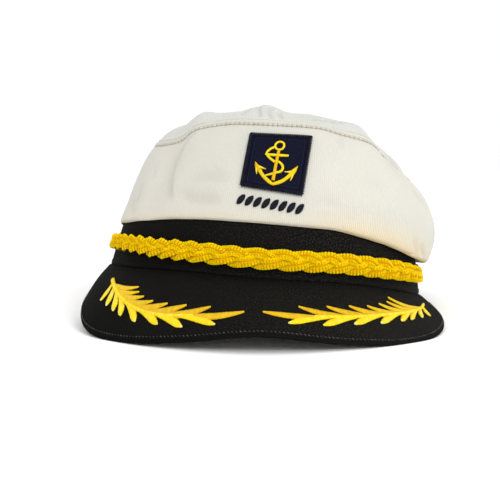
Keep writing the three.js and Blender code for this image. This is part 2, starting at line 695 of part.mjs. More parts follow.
// The anchor, in shares of EMBLEM_HEIGHT from the middle of the patch, +y up.
function anchor() {
  const lift0 = PATCH_FOOT + PATCH_THICKNESS + GAP;
  const on = (x, y, lift) => panelPoint(x, PATCH_MIDDLE - y, lift0 + lift);
  const scaled = (path) => path.map((row) => row.map((v) => v * EMBLEM_HEIGHT));
  const strokes = [];
  const ring = [];
  for (let i = 0; i <= 10; i += 1) {
    const turn = (2 * Math.PI * i) / 10;
    ring.push([0.095 * Math.sin(turn), 0.385 - 0.095 * Math.cos(turn), 0.028]);
  }
  strokes.push(ring.slice(0, 6), ring.slice(5));
  strokes.push([[0, 0.3, 0.038], [0, 0.1, 0.04], [0, -0.15, 0.044], [0, -0.4, 0.05]]);
  strokes.push([[-0.24, 0.19, 0.03], [0, 0.185, 0.034], [0.24, 0.19, 0.03]]);
  const arm = [[0, -0.44, 0.055], [0.15, -0.37, 0.06], [0.28, -0.26, 0.05], [0.37, -0.13, 0.03]];
  strokes.push(arm, mirrorX(arm));
  const barb = [[0.455, 0.01, 0.01], [0.41, -0.08, 0.045], [0.37, -0.17, 0.05], [0.32, -0.25, 0.012]];
  strokes.push(barb, mirrorX(barb));
  const rope = [];
  for (let i = 0; i <= 12; i += 1) {
    const t = i / 12;
    rope.push([-0.135 * Math.sin(2.1 * Math.PI * t + 0.1) * (1 - 0.15 * t), 0.32 - 0.58 * t, 0.024]);
  }
  strokes.push(rope);
  return joined(strokes.map((path) => stroke(scaled(path), on, EMBLEM_RELIEF)));
}

// A plain stitched rope bar under the patch: slanted lozenges on a thin core.
function ropeBar() {
  const middle = PATCH_BELOW_SEAM + PATCH_SIDE + ROPE_BAR_BELOW_PATCH + ROPE_BAR_HEIGHT / 2;
  const on = (x, y, lift) => panelPoint(x, middle - y, GAP + lift);
  const count = 8;
  const pitch = ROPE_BAR_LENGTH / count;
  const half = ROPE_BAR_HEIGHT / 2;
  const strokes = [];
  for (let i = 0; i < count; i += 1) {
    const x = (i + 0.5 - count / 2) * pitch;
    strokes.push([
      [x - 0.4 * pitch, -half, 0.2 * pitch],
      [x, 0, 0.62 * pitch],
      [x + 0.4 * pitch, half, 0.2 * pitch],
    ]);
  }
  return joined(strokes.map((path) => stroke(path, on, EMBLEM_RELIEF)));
}

// A leaf sprig on each half of the peak. Columns named side are shares of the half span from
// the middle line, and columns named out are shares of the way from the band to the rim.
// The stem starts at the outer corner, and root says how far along it a leaf grows.
const STEM = [
  { rightSide: 0.7, rightOut: 0.31, leftSide: 0.85, leftOut: 0.39 },
  { rightSide: 0.65, rightOut: 0.4, leftSide: 0.77, leftOut: 0.44 },
  { rightSide: 0.58, rightOut: 0.51, leftSide: 0.66, leftOut: 0.45 },
  { rightSide: 0.47, rightOut: 0.62, leftSide: 0.5, leftOut: 0.48 },
  { rightSide: 0.35, rightOut: 0.68, leftSide: 0.34, leftOut: 0.55 },
  { rightSide: 0.22, rightOut: 0.68, leftSide: 0.19, leftOut: 0.61 },
];
const LEAVES = [
  { root: 0.16, rightSide: 0.505, rightOut: 0.32, leftSide: 0.56, leftOut: 0.11 },
  { root: 0.28, rightSide: 0.488, rightOut: 0.4, leftSide: 0.54, leftOut: 0.2 },
  { root: 0.38, rightSide: 0.453, rightOut: 0.46, leftSide: 0.49, leftOut: 0.25 },
  { root: 0.48, rightSide: 0.4, rightOut: 0.51, leftSide: 0.425, leftOut: 0.31 },
  { root: 0.58, rightSide: 0.333, rightOut: 0.53, leftSide: 0.34, leftOut: 0.34 },
  { root: 0.7, rightSide: 0.256, rightOut: 0.54, leftSide: 0.246, leftOut: 0.39 },
  { root: 0.82, rightSide: 0.165, rightOut: 0.56, leftSide: 0.139, leftOut: 0.465 },
  { root: 1, rightSide: 0.048, rightOut: 0.64, leftSide: 0.015, leftOut: 0.63 },
  { root: 0.1, rightSide: 0.684, rightOut: 0.63, leftSide: 0.767, leftOut: 0.66 },
  { root: 0.2, rightSide: 0.629, rightOut: 0.66, leftSide: 0.697, leftOut: 0.61 },
  { root: 0.3, rightSide: 0.575, rightOut: 0.69, leftSide: 0.621, leftOut: 0.6 },
  { root: 0.4, rightSide: 0.525, rightOut: 0.72, leftSide: 0.562, leftOut: 0.6 },
  { root: 0.5, rightSide: 0.445, rightOut: 0.76, leftSide: 0.453, leftOut: 0.63 },
  { root: 0.62, rightSide: 0.347, rightOut: 0.78, leftSide: 0.334, leftOut: 0.67 },
  { root: 0.76, rightSide: 0.251, rightOut: 0.81, leftSide: 0.214, leftOut: 0.73 },
  { root: 0.9, rightSide: 0.139, rightOut: 0.8, leftSide: 0.096, leftOut: 0.765 },
];

// Millimetres on the peak for one share across and one share out.
const PEAK_ACROSS = (PEAK_SPAN / 180) * Math.PI * (HEAD_LENGTH / 2 + 0.2 * PEAK_REACH);
const PEAK_ALONG = Math.hypot(PEAK_REACH, 0.9 * PEAK_DROP);

function sprig(hand) {
  const side = hand === "left" ? 1 : -1;
  const spot = (row) => [row[`${hand}Side`] * PEAK_ACROSS, row[`${hand}Out`] * PEAK_ALONG];
  const on = (x, y, lift) => {
    const [share, out] = [(side * x) / PEAK_ACROSS, y / PEAK_ALONG];
    return peakTop(share, out).addScaledVector(peakNormal(share, out), GAP + lift);
  };
  const joints = STEM.map(spot);
  const stemAt = (along) => {
    const t = along * (joints.length - 1);
    const i = Math.min(joints.length - 2, Math.floor(t));
    return [0, 1].map((k) => lerp(joints[i][k], joints[i + 1][k], t - i));
  };
  const strokes = [joints.map(([x, y]) => [x, y, STEM_WIDTH / 2])];
  for (const leaf of LEAVES) {
    const root = stemAt(leaf.root);
    const tip = spot(leaf);
    const at = (t, wide) => [lerp(root[0], tip[0], t), lerp(root[1], tip[1], t), (wide * LEAF_WIDTH) / 2];
    strokes.push([at(0, 0.45), at(0.55, 1), at(1, 0.35)]);
  }
  return joined(strokes.map((path) => stroke(path, on, SPRIG_RELIEF)));
}

const finish = (colour, roughness, metalness = 0) =>
  new THREE.MeshStandardMaterial({ color: colour, roughness, metalness });
const cotton = finish(0xeeece4, 0.9);
const blackTwill = finish(0x17171a, 0.85);
const goldCord = finish(0xf0c414, 0.7);
const goldThread = finish(0xf2c21a, 0.5);
const navyThread = finish(0x14182c, 0.8);
const brass = finish(0xc9a13c, 0.3, 1);

const hat = new THREE.Group();
function add(name, geometry, material) {
  const mesh = new THREE.Mesh(geometry, material);
  mesh.name = name;
  hat.add(mesh);
  return mesh;
}

add("crown_side", crownSide(), cotton);
add("crown_top", crownTop(), cotton);
add("band", band(), blackTwill);
add("peak", peak(), blackTwill);
for (let i = 0; i < 3; i += 1) add(`braid_cord_${i + 1}`, strand(i), goldCord);
placeButton(add("button_right", button(), brass), -1);
placeButton(add("button_left", button(), brass), 1);
add("patch", patch(), navyThread);
add("patch_anchor", anchor(), goldThread);
add("rope_bar", ropeBar(), navyThread);
add("sprig_right", sprig("right"), goldThread);
add("sprig_left", sprig("left"), goldThread);
hat.applyMatrix4(TO_FLOOR);

const part = new THREE.Group();
part.add(hat);
part.updateMatrixWorld(true);
const box = new THREE.Box3().setFromObject(part, true);
const middle = box.getCenter(vec(0, 0, 0));
part.position.set(-middle.x, -middle.y, 0);

export default part;
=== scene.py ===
# %% [markdown]
# A yachting captain's hat, lying on a table.
# The real hat is six kinds of work: a cut and sewn cotton crown, a black cloth band, a covered
# peak, a plait of knitted cords, machine embroidery and two pressed buttons. Each is made here
# in its own way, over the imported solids, which say where every piece is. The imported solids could
# be smoothed instead, but cloth, cord and thread need far finer surfaces than a solid for
# collision has.

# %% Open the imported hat
import math

import bmesh
import bpy
import numpy as np
from mathutils import Matrix, Vector, noise


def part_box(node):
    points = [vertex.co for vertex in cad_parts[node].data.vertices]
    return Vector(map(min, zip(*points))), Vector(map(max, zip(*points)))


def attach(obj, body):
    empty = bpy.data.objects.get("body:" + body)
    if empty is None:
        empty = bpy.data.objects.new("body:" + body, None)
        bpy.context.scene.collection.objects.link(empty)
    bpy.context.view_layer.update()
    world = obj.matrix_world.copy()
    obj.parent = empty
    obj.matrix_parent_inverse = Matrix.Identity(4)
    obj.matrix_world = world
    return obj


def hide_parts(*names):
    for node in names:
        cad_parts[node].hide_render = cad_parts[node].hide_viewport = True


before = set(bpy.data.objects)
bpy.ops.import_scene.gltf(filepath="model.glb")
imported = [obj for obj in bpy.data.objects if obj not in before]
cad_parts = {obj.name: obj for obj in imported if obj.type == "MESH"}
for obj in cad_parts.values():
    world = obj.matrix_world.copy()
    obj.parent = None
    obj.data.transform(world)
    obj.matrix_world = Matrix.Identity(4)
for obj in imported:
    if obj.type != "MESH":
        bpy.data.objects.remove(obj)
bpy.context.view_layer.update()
print("packed nodes:", ", ".join(sorted(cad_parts)))

# %% [markdown]
# The camera stands in front of the hat and a little above it, as for a shop picture.
# It could be aimed at the middle of the hat, but then the hat would sit too high in the frame,
# so it looks at a point low on the front of the crown.

# %% Camera
EYE = Vector((0.00761, -0.5762, 0.09605))
LOOK_AT = Vector((-0.01112, 0.0198, 0.02917))
LENS = 74.95
camera = bpy.data.objects.new("camera", bpy.data.cameras.new("camera"))
camera.data.sensor_width = 36
camera.data.lens = LENS
camera.data.clip_start = 0.01
camera.location = EYE
camera.rotation_euler = (LOOK_AT - EYE).to_track_quat("-Z", "Y").to_euler()
bpy.context.collection.objects.link(camera)
bpy.context.scene.camera = camera
print("camera is", round((LOOK_AT - EYE).length, 3), "m from what it looks at")

# %% [markdown]
# A hat is drawn as a handful of sections round a head. Every section size sits in a table, and
# a smooth curve is laid through each column. Straight lines between the rows would be simpler,
# but the cloth would show a fold at every row.

# %% Smooth curves through tables
def smooth(x, low, high):
    t = np.clip((np.asarray(x, float) - low) / (high - low), 0, 1)
    return t * t * (3 - 2 * t)


def mix(a, b, t):
    return a + (b - a) * t


def through(x, xs, ys):
    """The smooth curve through the points xs, ys, read at x."""
    xs, ys = np.asarray(xs, float), np.asarray(ys, float)
    index = np.arange(len(xs))
    before, after = np.maximum(index - 1, 0), np.minimum(index + 1, len(xs) - 1)
    slope = (ys[after] - ys[before]) / (xs[after] - xs[before])
    i = np.clip(np.searchsorted(xs, x, side="right") - 1, 0, len(xs) - 2)
    width = xs[i + 1] - xs[i]
    t = (x - xs[i]) / width
    rise = 3 * t**2 - 2 * t**3
    start, end = (t**3 - 2 * t**2 + t) * width, (t**3 - t**2) * width
    return (1 - rise) * ys[i] + rise * ys[i + 1] + start * slope[i] + end * slope[i + 1]


def unit(vectors):
    return vectors / np.maximum(np.linalg.norm(vectors, axis=-1, keepdims=True), 1e-12)


# %% [markdown]
# The head shape and how the hat lies. Work is done in millimetres with the band's lower edge
# flat, which is how a hat is drawn. place() then leans and tilts the points onto the table and
# gives metres. The tilt is the one that lets the peak's rim and the band's back touch together.

# %% Head shape and the lie of the hat
HEAD_LENGTH = 204
HEAD_WIDTH = 176
BAND_HEIGHT = 29.5
BAND_WALL = 2.4
BAND_DRAW_IN = 6
BAND_ROLL = 0.8
GAP = 0.3
LEAN_DEG = 5.4
TILT_DEG = -6.47693
LIFT = 13.46936

ARCH_TURNS = (-180, -90, -56, -40, -24, -8, 0, 8, 16, 24, 32, 40, 48, 56, 68, 80, 120, 180)
ARCH_RISE = (0, 0, 0, 0.9, 1.7, 1.8, 2.1, 2.5, 2.9, 3.3, 3.2, 2.8, 2.2, 1.3, 0.2, 0, 0, 0)


def arch(azimuth):
    """How far the band bows up in front, in mm. The wearer's brow does it on the real hat."""
    return through((np.asarray(azimuth, float) + 180) % 360 - 180, ARCH_TURNS, ARCH_RISE)


def band_point(azimuth, height, offset=0.0, bowed=1.0):
    """Outside of the band: azimuth 0 is the front, 90 the wearer's left."""
    azimuth, height, offset = np.broadcast_arrays(
        *(np.asarray(v, float) for v in (azimuth, height, offset))
    )
    drawn = BAND_DRAW_IN * height / BAND_HEIGHT
    half_width, half_length = HEAD_WIDTH / 2 - drawn, HEAD_LENGTH / 2 - drawn
    s, c = np.sin(np.radians(azimuth)), np.cos(np.radians(azimuth))
    normal = unit(np.stack([s / half_width, -c / half_length], -1)) * offset[..., None]
    flat = np.stack([half_width * s, -half_length * c], -1) + normal
    return np.concatenate([flat, (height + bowed * arch(azimuth))[..., None]], -1)


def lying(points):
    lean, tilt = math.radians(LEAN_DEG), math.radians(TILT_DEG)
    x, y, z = np.moveaxis(np.asarray(points, float), -1, 0)
    x, z = x * math.cos(lean) + z * math.sin(lean), z * math.cos(lean) - x * math.sin(lean)
    y, z = y * math.cos(tilt) - z * math.sin(tilt), y * math.sin(tilt) + z * math.cos(tilt)
    return np.stack([x, y, np.maximum(z + LIFT, 0)], -1) / 1000


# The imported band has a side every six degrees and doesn't bow up in front.
packed_turns = np.arange(-180, 180, 6)
packed_edges = band_point(packed_turns[:, None], [BAND_ROLL, BAND_HEIGHT], 0, 0)
SHIFT = np.array(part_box("band")[0])[:2] - lying(packed_edges).reshape(-1, 3).min(0)[:2]


def place(points):
    """From the drawing, in millimetres, to the table, in metres."""
    p = lying(points)
    p[..., :2] += SHIFT
    return p


print("the drawing is moved on the table by", (SHIFT * 1000).round(2), "mm")

# %% [markdown]
# Most pieces are skins laid over a grid of points: rows that run round or along the piece,
# and columns that run over its section. One builder turns such a grid into a closed mesh with
# a cloth map in metres. Blender's own primitives have no section that changes along the way.

# %% Skins over grids of points
def facing_out(mesh):
    """Turns the faces outwards and smooths them."""
    work = bmesh.new()
    work.from_mesh(mesh)
    if work.calc_volume(signed=True) < 0:
        bmesh.ops.reverse_faces(work, faces=work.faces)
    work.to_mesh(mesh)
    work.free()
    mesh.shade_smooth()


def new_piece(name, mesh, finish):
    piece = bpy.data.objects.new(name, mesh)
    bpy.context.collection.objects.link(piece)
    mesh.materials.clear()
    mesh.materials.append(finish)
    return piece


def skin(name, points, cloth, finish, ring=False, loop=False, caps=False, weld=0.0, marks=None):
    """Rows of points in metres become a mesh. ring joins the last row to the first, loop the
    last column to the first, and caps fills the two end rows. cloth has one row or column
    more than the points where they are joined, so that the cloth map doesn't run back.
    marks are numbers that the points carry for their material, such as how dark they are."""
    rows, columns = points.shape[:2]
    i, j = np.meshgrid(
        np.arange(rows if ring else rows - 1),
        np.arange(columns if loop else columns - 1),
        indexing="ij",
    )
    i, j = i.ravel(), j.ravel()
    corners = [(i, j), (i + 1, j), (i + 1, j + 1), (i, j + 1)]
    faces = np.stack([(a % rows) * columns + b % columns for a, b in corners], 1).tolist()
    spots = np.stack([cloth[a, b] for a, b in corners], 1).reshape(-1, 2)
    if caps:
        for row in (0, rows - 1):
            faces.append([row * columns + b for b in range(columns)])
            spots = np.concatenate([spots, cloth[row, :columns]])
    mesh = bpy.data.meshes.new(name)
    mesh.from_pydata(points.reshape(-1, 3).tolist(), [], faces)
    mesh.uv_layers.new(name="cloth").data.foreach_set("uv", spots.astype(np.float32).ravel())
    for label, values in (marks or {}).items():
        spread = np.broadcast_to(values, (rows, columns)).astype(np.float32)
        mesh.attributes.new(label, "FLOAT", "POINT").data.foreach_set("value", spread.ravel())
    if weld:
        work = bmesh.new()
        work.from_mesh(mesh)
        bmesh.ops.remove_doubles(work, verts=work.verts, dist=weld)
        work.to_mesh(mesh)
        work.free()
    facing_out(mesh)
    return new_piece(name, mesh, finish)


def settle(piece, slot, *nodes):
    """Gives a finished piece to the hat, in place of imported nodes."""
    if nodes:
        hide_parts(*nodes)
    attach(piece, "root")
    print(piece.name, len(piece.data.polygons), "faces")


# %% [markdown]
# Node trees are written as sums. A Field wraps one socket and knows +, - and *, so that
# 1 - mask adds a Math node by itself. Joining nodes by hand, link by link, does the same but
# hides the sum that the finish really is.

# %% Node trees as sums
class Field:
    def __init__(self, graph, socket):
        self.graph, self.socket = graph, socket

    def math(self, operation, *others):
        return self.graph.sum(operation, self, *others)

    def __add__(self, other):
        return self.math("ADD", other)

    def __sub__(self, other):
        return self.math("SUBTRACT", other)

    def __rsub__(self, other):
        return self.graph.sum("SUBTRACT", other, self)

    def __mul__(self, other):
        return self.math("MULTIPLY", other)

    __radd__ = __add__
    __rmul__ = __mul__


class Graph:
    """A node tree to write in. node() adds one node: its settings first, then its sockets."""

    def __init__(self, tree):
        self.tree = tree

    def node(self, kind, settings=None, values=None, output=0):
        made = self.tree.nodes.new(kind)
        for name, value in (settings or {}).items():
            if name == "stops":
                self.set_stops(made.color_ramp, value)
            else:
                setattr(made, name, value)
        for name, value in (values or {}).items():
            if isinstance(value, Field):
                self.tree.links.new(value.socket, made.inputs[name])
            else:
                made.inputs[name].default_value = value
        return Field(self, made.outputs[output]) if made.outputs else made

    def set_stops(self, ramp, stops):
        while len(ramp.elements) < len(stops):
            ramp.elements.new(0.5)
        for element, (at, grey) in zip(ramp.elements, stops):
            element.position, element.color = at, (grey, grey, grey, 1)

    def sum(self, operation, *terms):
        return self.node("ShaderNodeMath", {"operation": operation}, dict(enumerate(terms)))

    def blend(self, share, a, b):
        """Mixes two colours. Sockets 6 and 7 of a Mix node are its colours, output 2 its result."""
        return self.node("ShaderNodeMix", {"data_type": "RGBA"}, {0: share, 6: a, 7: b}, 2)

    def noise(self, where, scale, detail=2.0, roughness=0.5):
        values = {"Vector": where, "Scale": scale, "Detail": detail, "Roughness": roughness}
        return self.node("ShaderNodeTexNoise", None, values)

    def carried(self, name):
        """A number that the piece's points carry."""
        return self.node("ShaderNodeAttribute", {"attribute_name": name}, None, "Fac")

    def on_hat(self):
        """The place on the whole hat."""
        return self.node("ShaderNodeTexCoord", None, None, "Object")

    def on_cloth(self):
        """The place on the piece's own cloth map."""
        return self.node("ShaderNodeUVMap", {"uv_map": "cloth"})


def colour(red, green, blue):
    return (red, green, blue, 1.0)


def new_finish(name, roughness, sheen=0.0, metallic=0.0, specular=0.5):
    """A material with its uniform values set on the shader itself."""
    finish = bpy.data.materials.new(name)
    finish.use_nodes = True
    shader = finish.node_tree.nodes["Principled BSDF"]
    shader.inputs["Roughness"].default_value = roughness
    shader.inputs["Sheen Weight"].default_value = sheen
    shader.inputs["Sheen Roughness"].default_value = 0.5
    shader.inputs["Metallic"].default_value = metallic
    shader.inputs["Specular IOR Level"].default_value = specular
    graph = Graph(finish.node_tree)

    def join(socket, field):
        finish.node_tree.links.new(field.socket, shader.inputs[socket])

    return finish, graph, join


def raised(graph, height, distance):
    """A bump of a height field, distance in metres."""
    values = {"Height": height, "Distance": distance, "Strength": 1.0}
    return graph.node("ShaderNodeBump", None, values, "Normal")


def split(graph, vector):
    """The x, y and z of a vector field."""
    made = graph.node("ShaderNodeSeparateXYZ", None, {"Vector": vector})
    return [Field(graph, output) for output in made.socket.node.outputs]


# %% [markdown]
# White cotton twill. The real cloth is off-white, with fine ribs that run up the panel and a few
# soft blotches where it was handled. Painted light and shade go into its colour too: warm light
# caught low on the puffed side, a cooler painted shade on the top near the seam, and painted
# shade in the creases and in the needle holes of the seam row. The ribs follow the cloth map, so
# they stay on the cloth when it folds. A picture of cloth would show more threads, but it can't
# be scaled to a new hat.

# %% White cotton twill
TAU = 2 * math.pi
CLOTH_GIRTH = 0.597
RIBS = 520
RIB_PITCH = CLOTH_GIRTH / RIBS
cotton, graph, join = new_finish("white cotton twill", 0.92, sheen=0.15, specular=0.2)
cloth_map = graph.on_cloth()
spot = graph.on_hat()
across, along, _ = split(graph, cloth_map)
rib = (across * (TAU / RIB_PITCH)).math("SINE") * 0.5 + 0.5
slub = graph.noise(cloth_map, 700, 3, 0.6)
blotch = graph.noise(spot, 22, 3, 0.55)
fold_grey = graph.noise(spot, 60, 2, 0.5)
grime = graph.carried("grime")
warm = graph.carried("warm")
crease = graph.carried("crease")
cool = graph.carried("cool")
shade = (1 - rib) * 0.2 + slub * 0.25
ground = graph.blend(blotch * 0.9, colour(0.73, 0.705, 0.625), colour(0.63, 0.64, 0.6))
base = graph.blend(shade, ground, colour(0.45, 0.42, 0.34))
base = graph.blend(fold_grey * 0.14, base, colour(0.55, 0.52, 0.44))
# Painted shade: the cloth is darker where the creases press it in.
base = graph.blend((crease * 0.22).math("MINIMUM", 0.4), base, colour(0.5, 0.5, 0.43))
# Painted light: warm light caught low on the puffed side, mixed into the colour.
base = graph.blend(warm, base, colour(0.8, 0.65, 0.4))
# Painted shade: a cooler grey on the top panel just inside the rim seam.
base = graph.blend(cool, base, colour(0.5, 0.545, 0.54))
# Painted shade: brown darkening in the needle holes of the seam row and along its groove.
base = graph.blend(grime, base, colour(0.3, 0.22, 0.16))
join("Base Color", base)
join("Roughness", slub * 0.1 + 0.86)
diagonal = ((across + along) * (TAU / (0.5 * RIB_PITCH))).math("SINE")
join("Normal", raised(graph, rib * 0.7 + diagonal * 0.15 + slub * 0.8, 0.00016))
print("cotton ribs every", round(RIB_PITCH * 1000, 2), "mm")

# %% [markdown]
# Dark cotton twill, black for the band and the peak and navy for the patch. The slanting twill
# line is only just visible, and the cloth has picked up some pale dust. On the side that the
# light comes from the specks are painted stronger, which is painted light. Plain black would do
# from afar, but up close cloth is a dark grey where its fibres catch the light.

# %% Dark cotton twill
TWILL_PITCH = 0.0011
BLACK = (0.0018, 0.0019, 0.0017)
WORN_BLACK = (0.009, 0.0088, 0.0078)
NAVY = (0.003, 0.0035, 0.011)
WORN_NAVY = (0.011, 0.012, 0.032)


def dark_twill(name, dust, dark, light):
    finish, graph, join = new_finish(name, 0.8, specular=0.03)
    cloth_map = graph.on_cloth()
    across, along, _ = split(graph, cloth_map)
    line = ((across + along * 0.8) * (TAU / TWILL_PITCH)).math("SINE") * 0.5 + 0.5
    fibre = graph.noise(cloth_map, 1200, 3, 0.7)
    soft = graph.noise(cloth_map, 45, 2, 0.5)
    specks = graph.node("ShaderNodeValToRGB", {"stops": ((0.5, 0), (0.72, 1))}, {0: fibre})
    ground = graph.blend(line * 0.35 + soft * 0.3, colour(*dark), colour(*light))
    specks_share = graph.node("ShaderNodeRGBToBW", None, {"Color": specks})
    # Painted light: towards +x, the side the key light comes from, the pale specks grow stronger, over
    # the real dust.
    sideways = split(graph, graph.on_hat())[0]
    dust_and_side_light = (sideways * 8 + 0.65).math("MAXIMUM", 0.1).math("MINIMUM", 1.2)
    join("Base Color", graph.blend(specks_share * dust_and_side_light * dust, ground, colour(0.07, 0.066, 0.056)))
    join("Roughness", fibre * 0.15 + 0.72)
    join("Normal", raised(graph, line * 0.6 + fibre * 0.9, 0.00012))
    return finish


band_twill = dark_twill("black band twill", 0.7, BLACK, WORN_BLACK)
peak_twill = dark_twill("black peak twill", 0.65, BLACK, WORN_BLACK)
patch_twill = dark_twill("navy patch twill", 0.2, NAVY, WORN_NAVY)
print("twill line every", TWILL_PITCH * 1000, "mm")

# %% [markdown]
# Threads and cords. Golden embroidery silk shines along its turns, so each stitch is its own
# small solid, and its tone comes from a number that the stitch carries. The knitted cord is
# duller and a fuller yellow, with painted orange shade where the stitches sink in.

# %% Thread finishes
def thread(name, dark, light, roughness, specular):
    """A thread whose colour runs from dark to light with the stitch's own tone."""
    finish, graph, join = new_finish(name, roughness, specular=specular)
    tone = graph.carried("tone")
    fibre = graph.noise(graph.on_hat(), 2600, 2, 0.6)
    worn = graph.blend(tone * 0.8 + fibre * 0.25, colour(*dark), colour(*light))
    # Painted highlight: the palest tones are mixed towards a whitish gold, as shiny thread ends catch
    # the light.
    pale = (tone - 0.95).math("MAXIMUM", 0.0) * 1.6
    join("Base Color", graph.blend(pale, worn, colour(0.95, 0.93, 0.75)))
    join("Normal", raised(graph, fibre, 0.00006))
    return finish


cord_yarn = thread("golden cord yarn", (0.6, 0.27, 0.0005), (1.0, 0.76, 0.0008), 0.65, 0.04)
# The body's darker orange is painted shade where the stitches sink in.
cord_body_painted_shade = thread("golden cord body", (0.62, 0.31, 0.0005), (0.8, 0.5, 0.0008), 0.7, 0.03)
gold_silk = thread("gold embroidery silk", (0.6, 0.29, 0.0012), (0.95, 0.74, 0.005), 0.42, 0.16)
navy_silk = thread("navy embroidery silk", (0.0016, 0.0018, 0.0045), (0.009, 0.01, 0.022), 0.5, 0.12)
seam_thread = thread("cream seam thread", (0.42, 0.36, 0.28), (0.7, 0.67, 0.58), 0.7, 0.1)
border_silk = thread("dark border silk", (0.0014, 0.0016, 0.0045), (0.0075, 0.0085, 0.022), 0.5, 0.1)
line_silk = thread("pale navy thread", (0.012, 0.013, 0.03), (0.03, 0.034, 0.075), 0.5, 0.12)
peak_thread = thread("grey peak thread", (0.012, 0.012, 0.012), (0.12, 0.118, 0.11), 0.6, 0.1)
threads = (cord_yarn, cord_body_painted_shade, gold_silk, navy_silk, seam_thread, border_silk, line_silk, peak_thread)
print("threads:", ", ".join(finish.name for finish in threads))

# %% [markdown]
# Stitches by Geometry Nodes. A stitch repeats hundreds of times, so one thread is drawn once
# and put on every point of a bare mesh, turned and sized by what the point carries. The thread
# is a rod whose ends taper and whose middle is arched, with named inputs for both. Copying a
# mesh in a loop would give the same shape, but nothing could be changed afterwards.

# %% A tree that puts a thread on every point
def stitch_tree(name, finish):
    tree = bpy.data.node_groups.new(name, "GeometryNodeTree")
    sockets = tree.interface
    sockets.new_socket("Points", in_out="INPUT", socket_type="NodeSocketGeometry")
    for label, size in (("Arch", 0.5), ("Taper", 0.6)):
        sockets.new_socket(label, in_out="INPUT", socket_type="NodeSocketFloat").default_value = size
    for label, count in (("Steps", 6), ("Sides", 5)):
        sockets.new_socket(label, in_out="INPUT", socket_type="NodeSocketInt").default_value = count
    sockets.new_socket("Stitches", in_out="OUTPUT", socket_type="NodeSocketGeometry")
    graph = Graph(tree)
    plugs = graph.node("NodeGroupInput").socket.node.outputs
    given = {plug.name: Field(graph, plug) for plug in plugs if plug.name}
    rod = graph.node(
        "GeometryNodeMeshCylinder",
        None,
        {"Vertices": given["Sides"], "Side Segments": given["Steps"], "Radius": 0.5, "Depth": 1.0},
    )
    along_x = {"Geometry": rod, "Rotation": (0, math.pi / 2, 0)}
    rod = graph.node("GeometryNodeTransform", None, along_x)
    x, y, z = split(graph, graph.node("GeometryNodeInputPosition"))
    square = x * x * 4
    thin = 1 - square * square * given["Taper"]
    arched = {"X": x, "Y": y * thin, "Z": z * thin + (1 - square) * given["Arch"]}
    arched = graph.node("ShaderNodeCombineXYZ", None, arched)
    thread = graph.node("GeometryNodeSetPosition", None, {"Geometry": rod, "Position": arched})
    reader = "GeometryNodeInputNamedAttribute"
    turn = graph.node(reader, {"data_type": "QUATERNION"}, {"Name": "turn"})
    size = graph.node(reader, {"data_type": "FLOAT_VECTOR"}, {"Name": "size"})
    values = {"Points": given["Points"], "Instance": thread, "Rotation": turn, "Scale": size}
    placed = graph.node("GeometryNodeInstanceOnPoints", None, values)
    real = graph.node("GeometryNodeRealizeInstances", None, {"Geometry": placed})
    done = graph.node("GeometryNodeSetMaterial", None, {"Geometry": real, "Material": finish})
    graph.node("NodeGroupOutput", None, {"Stitches": done})
    return tree


def baked(piece, tree, **inputs):
    """Runs the tree once and keeps its result as a plain mesh."""
    modifier = piece.modifiers.new("stitches", "NODES")
    modifier.node_group = tree
    for item in tree.interface.items_tree:
        if item.name in inputs:
            modifier[item.identifier] = inputs[item.name]
    view = bpy.context.evaluated_depsgraph_get()
    mesh = bpy.data.meshes.new_from_object(
        piece.evaluated_get(view), preserve_all_data_layers=True, depsgraph=view
    )
    piece.modifiers.remove(modifier)
    piece.data = mesh
    mesh.shade_smooth()
    return piece


# %% Points that carry a stitch's place, turn, size and tone
def stitches(name, finish, spots, **inputs):
    """spots has middle, x_axis, z_axis, size and tone, one row a stitch, in metres."""
    middle = spots["middle"]
    mesh = bpy.data.meshes.new(name)
    mesh.from_pydata(middle.tolist(), [], [])
    x_axis = unit(spots["x_axis"])
    y_axis = unit(np.cross(spots["z_axis"], x_axis))
    z_axis = np.cross(x_axis, y_axis)
    frames = np.stack([x_axis, y_axis, z_axis], -1)
    turns = np.array([tuple(Matrix(f.tolist()).to_quaternion()) for f in frames])
    mesh.attributes.new("turn", "QUATERNION", "POINT").data.foreach_set("value", turns.ravel())
    size = np.broadcast_to(spots["size"], middle.shape)
    mesh.attributes.new("size", "FLOAT_VECTOR", "POINT").data.foreach_set("vector", size.ravel())
    tone = np.broadcast_to(spots["tone"], len(middle))
    mesh.attributes.new("tone", "FLOAT", "POINT").data.foreach_set("value", tone.ravel())
    piece = bpy.data.objects.new(name, mesh)
    bpy.context.collection.objects.link(piece)
    tree = stitch_tree(name + " stitches", finish)
    return baked(piece, tree, **inputs)


def on_surface(surface, x, y, angle, lift, size, tone):
    """Stitches on surface(x, y, lift). angle turns each one from the x direction."""
    e = 0.15
    dx, dy = e * np.cos(angle), e * np.sin(angle)
    ahead = surface(x + dx, y + dy, lift) - surface(x - dx, y - dy, lift)
    up = surface(x, y, lift + e) - surface(x, y, lift - e)
    middle = surface(x, y, lift)
    size = np.broadcast_to(np.asarray(size, float) / 1000, middle.shape)
    return {"middle": middle, "x_axis": ahead, "z_axis": up, "size": size, "tone": tone}


def together(parts):
    """Several sets of spots as one."""
    return {key: np.concatenate([part[key] for part in parts]) for key in parts[0]}


# %% [markdown]
# The crown's sections. The puffed cotton laps down over the band, folds back under itself on
# the wearer's left, where the hat leans, and rises to the rim seam. The soft top swells from
# the rim. The folds are broad dents pressed into that shape, written as shares, so that they
# keep their look on a larger or smaller hat.

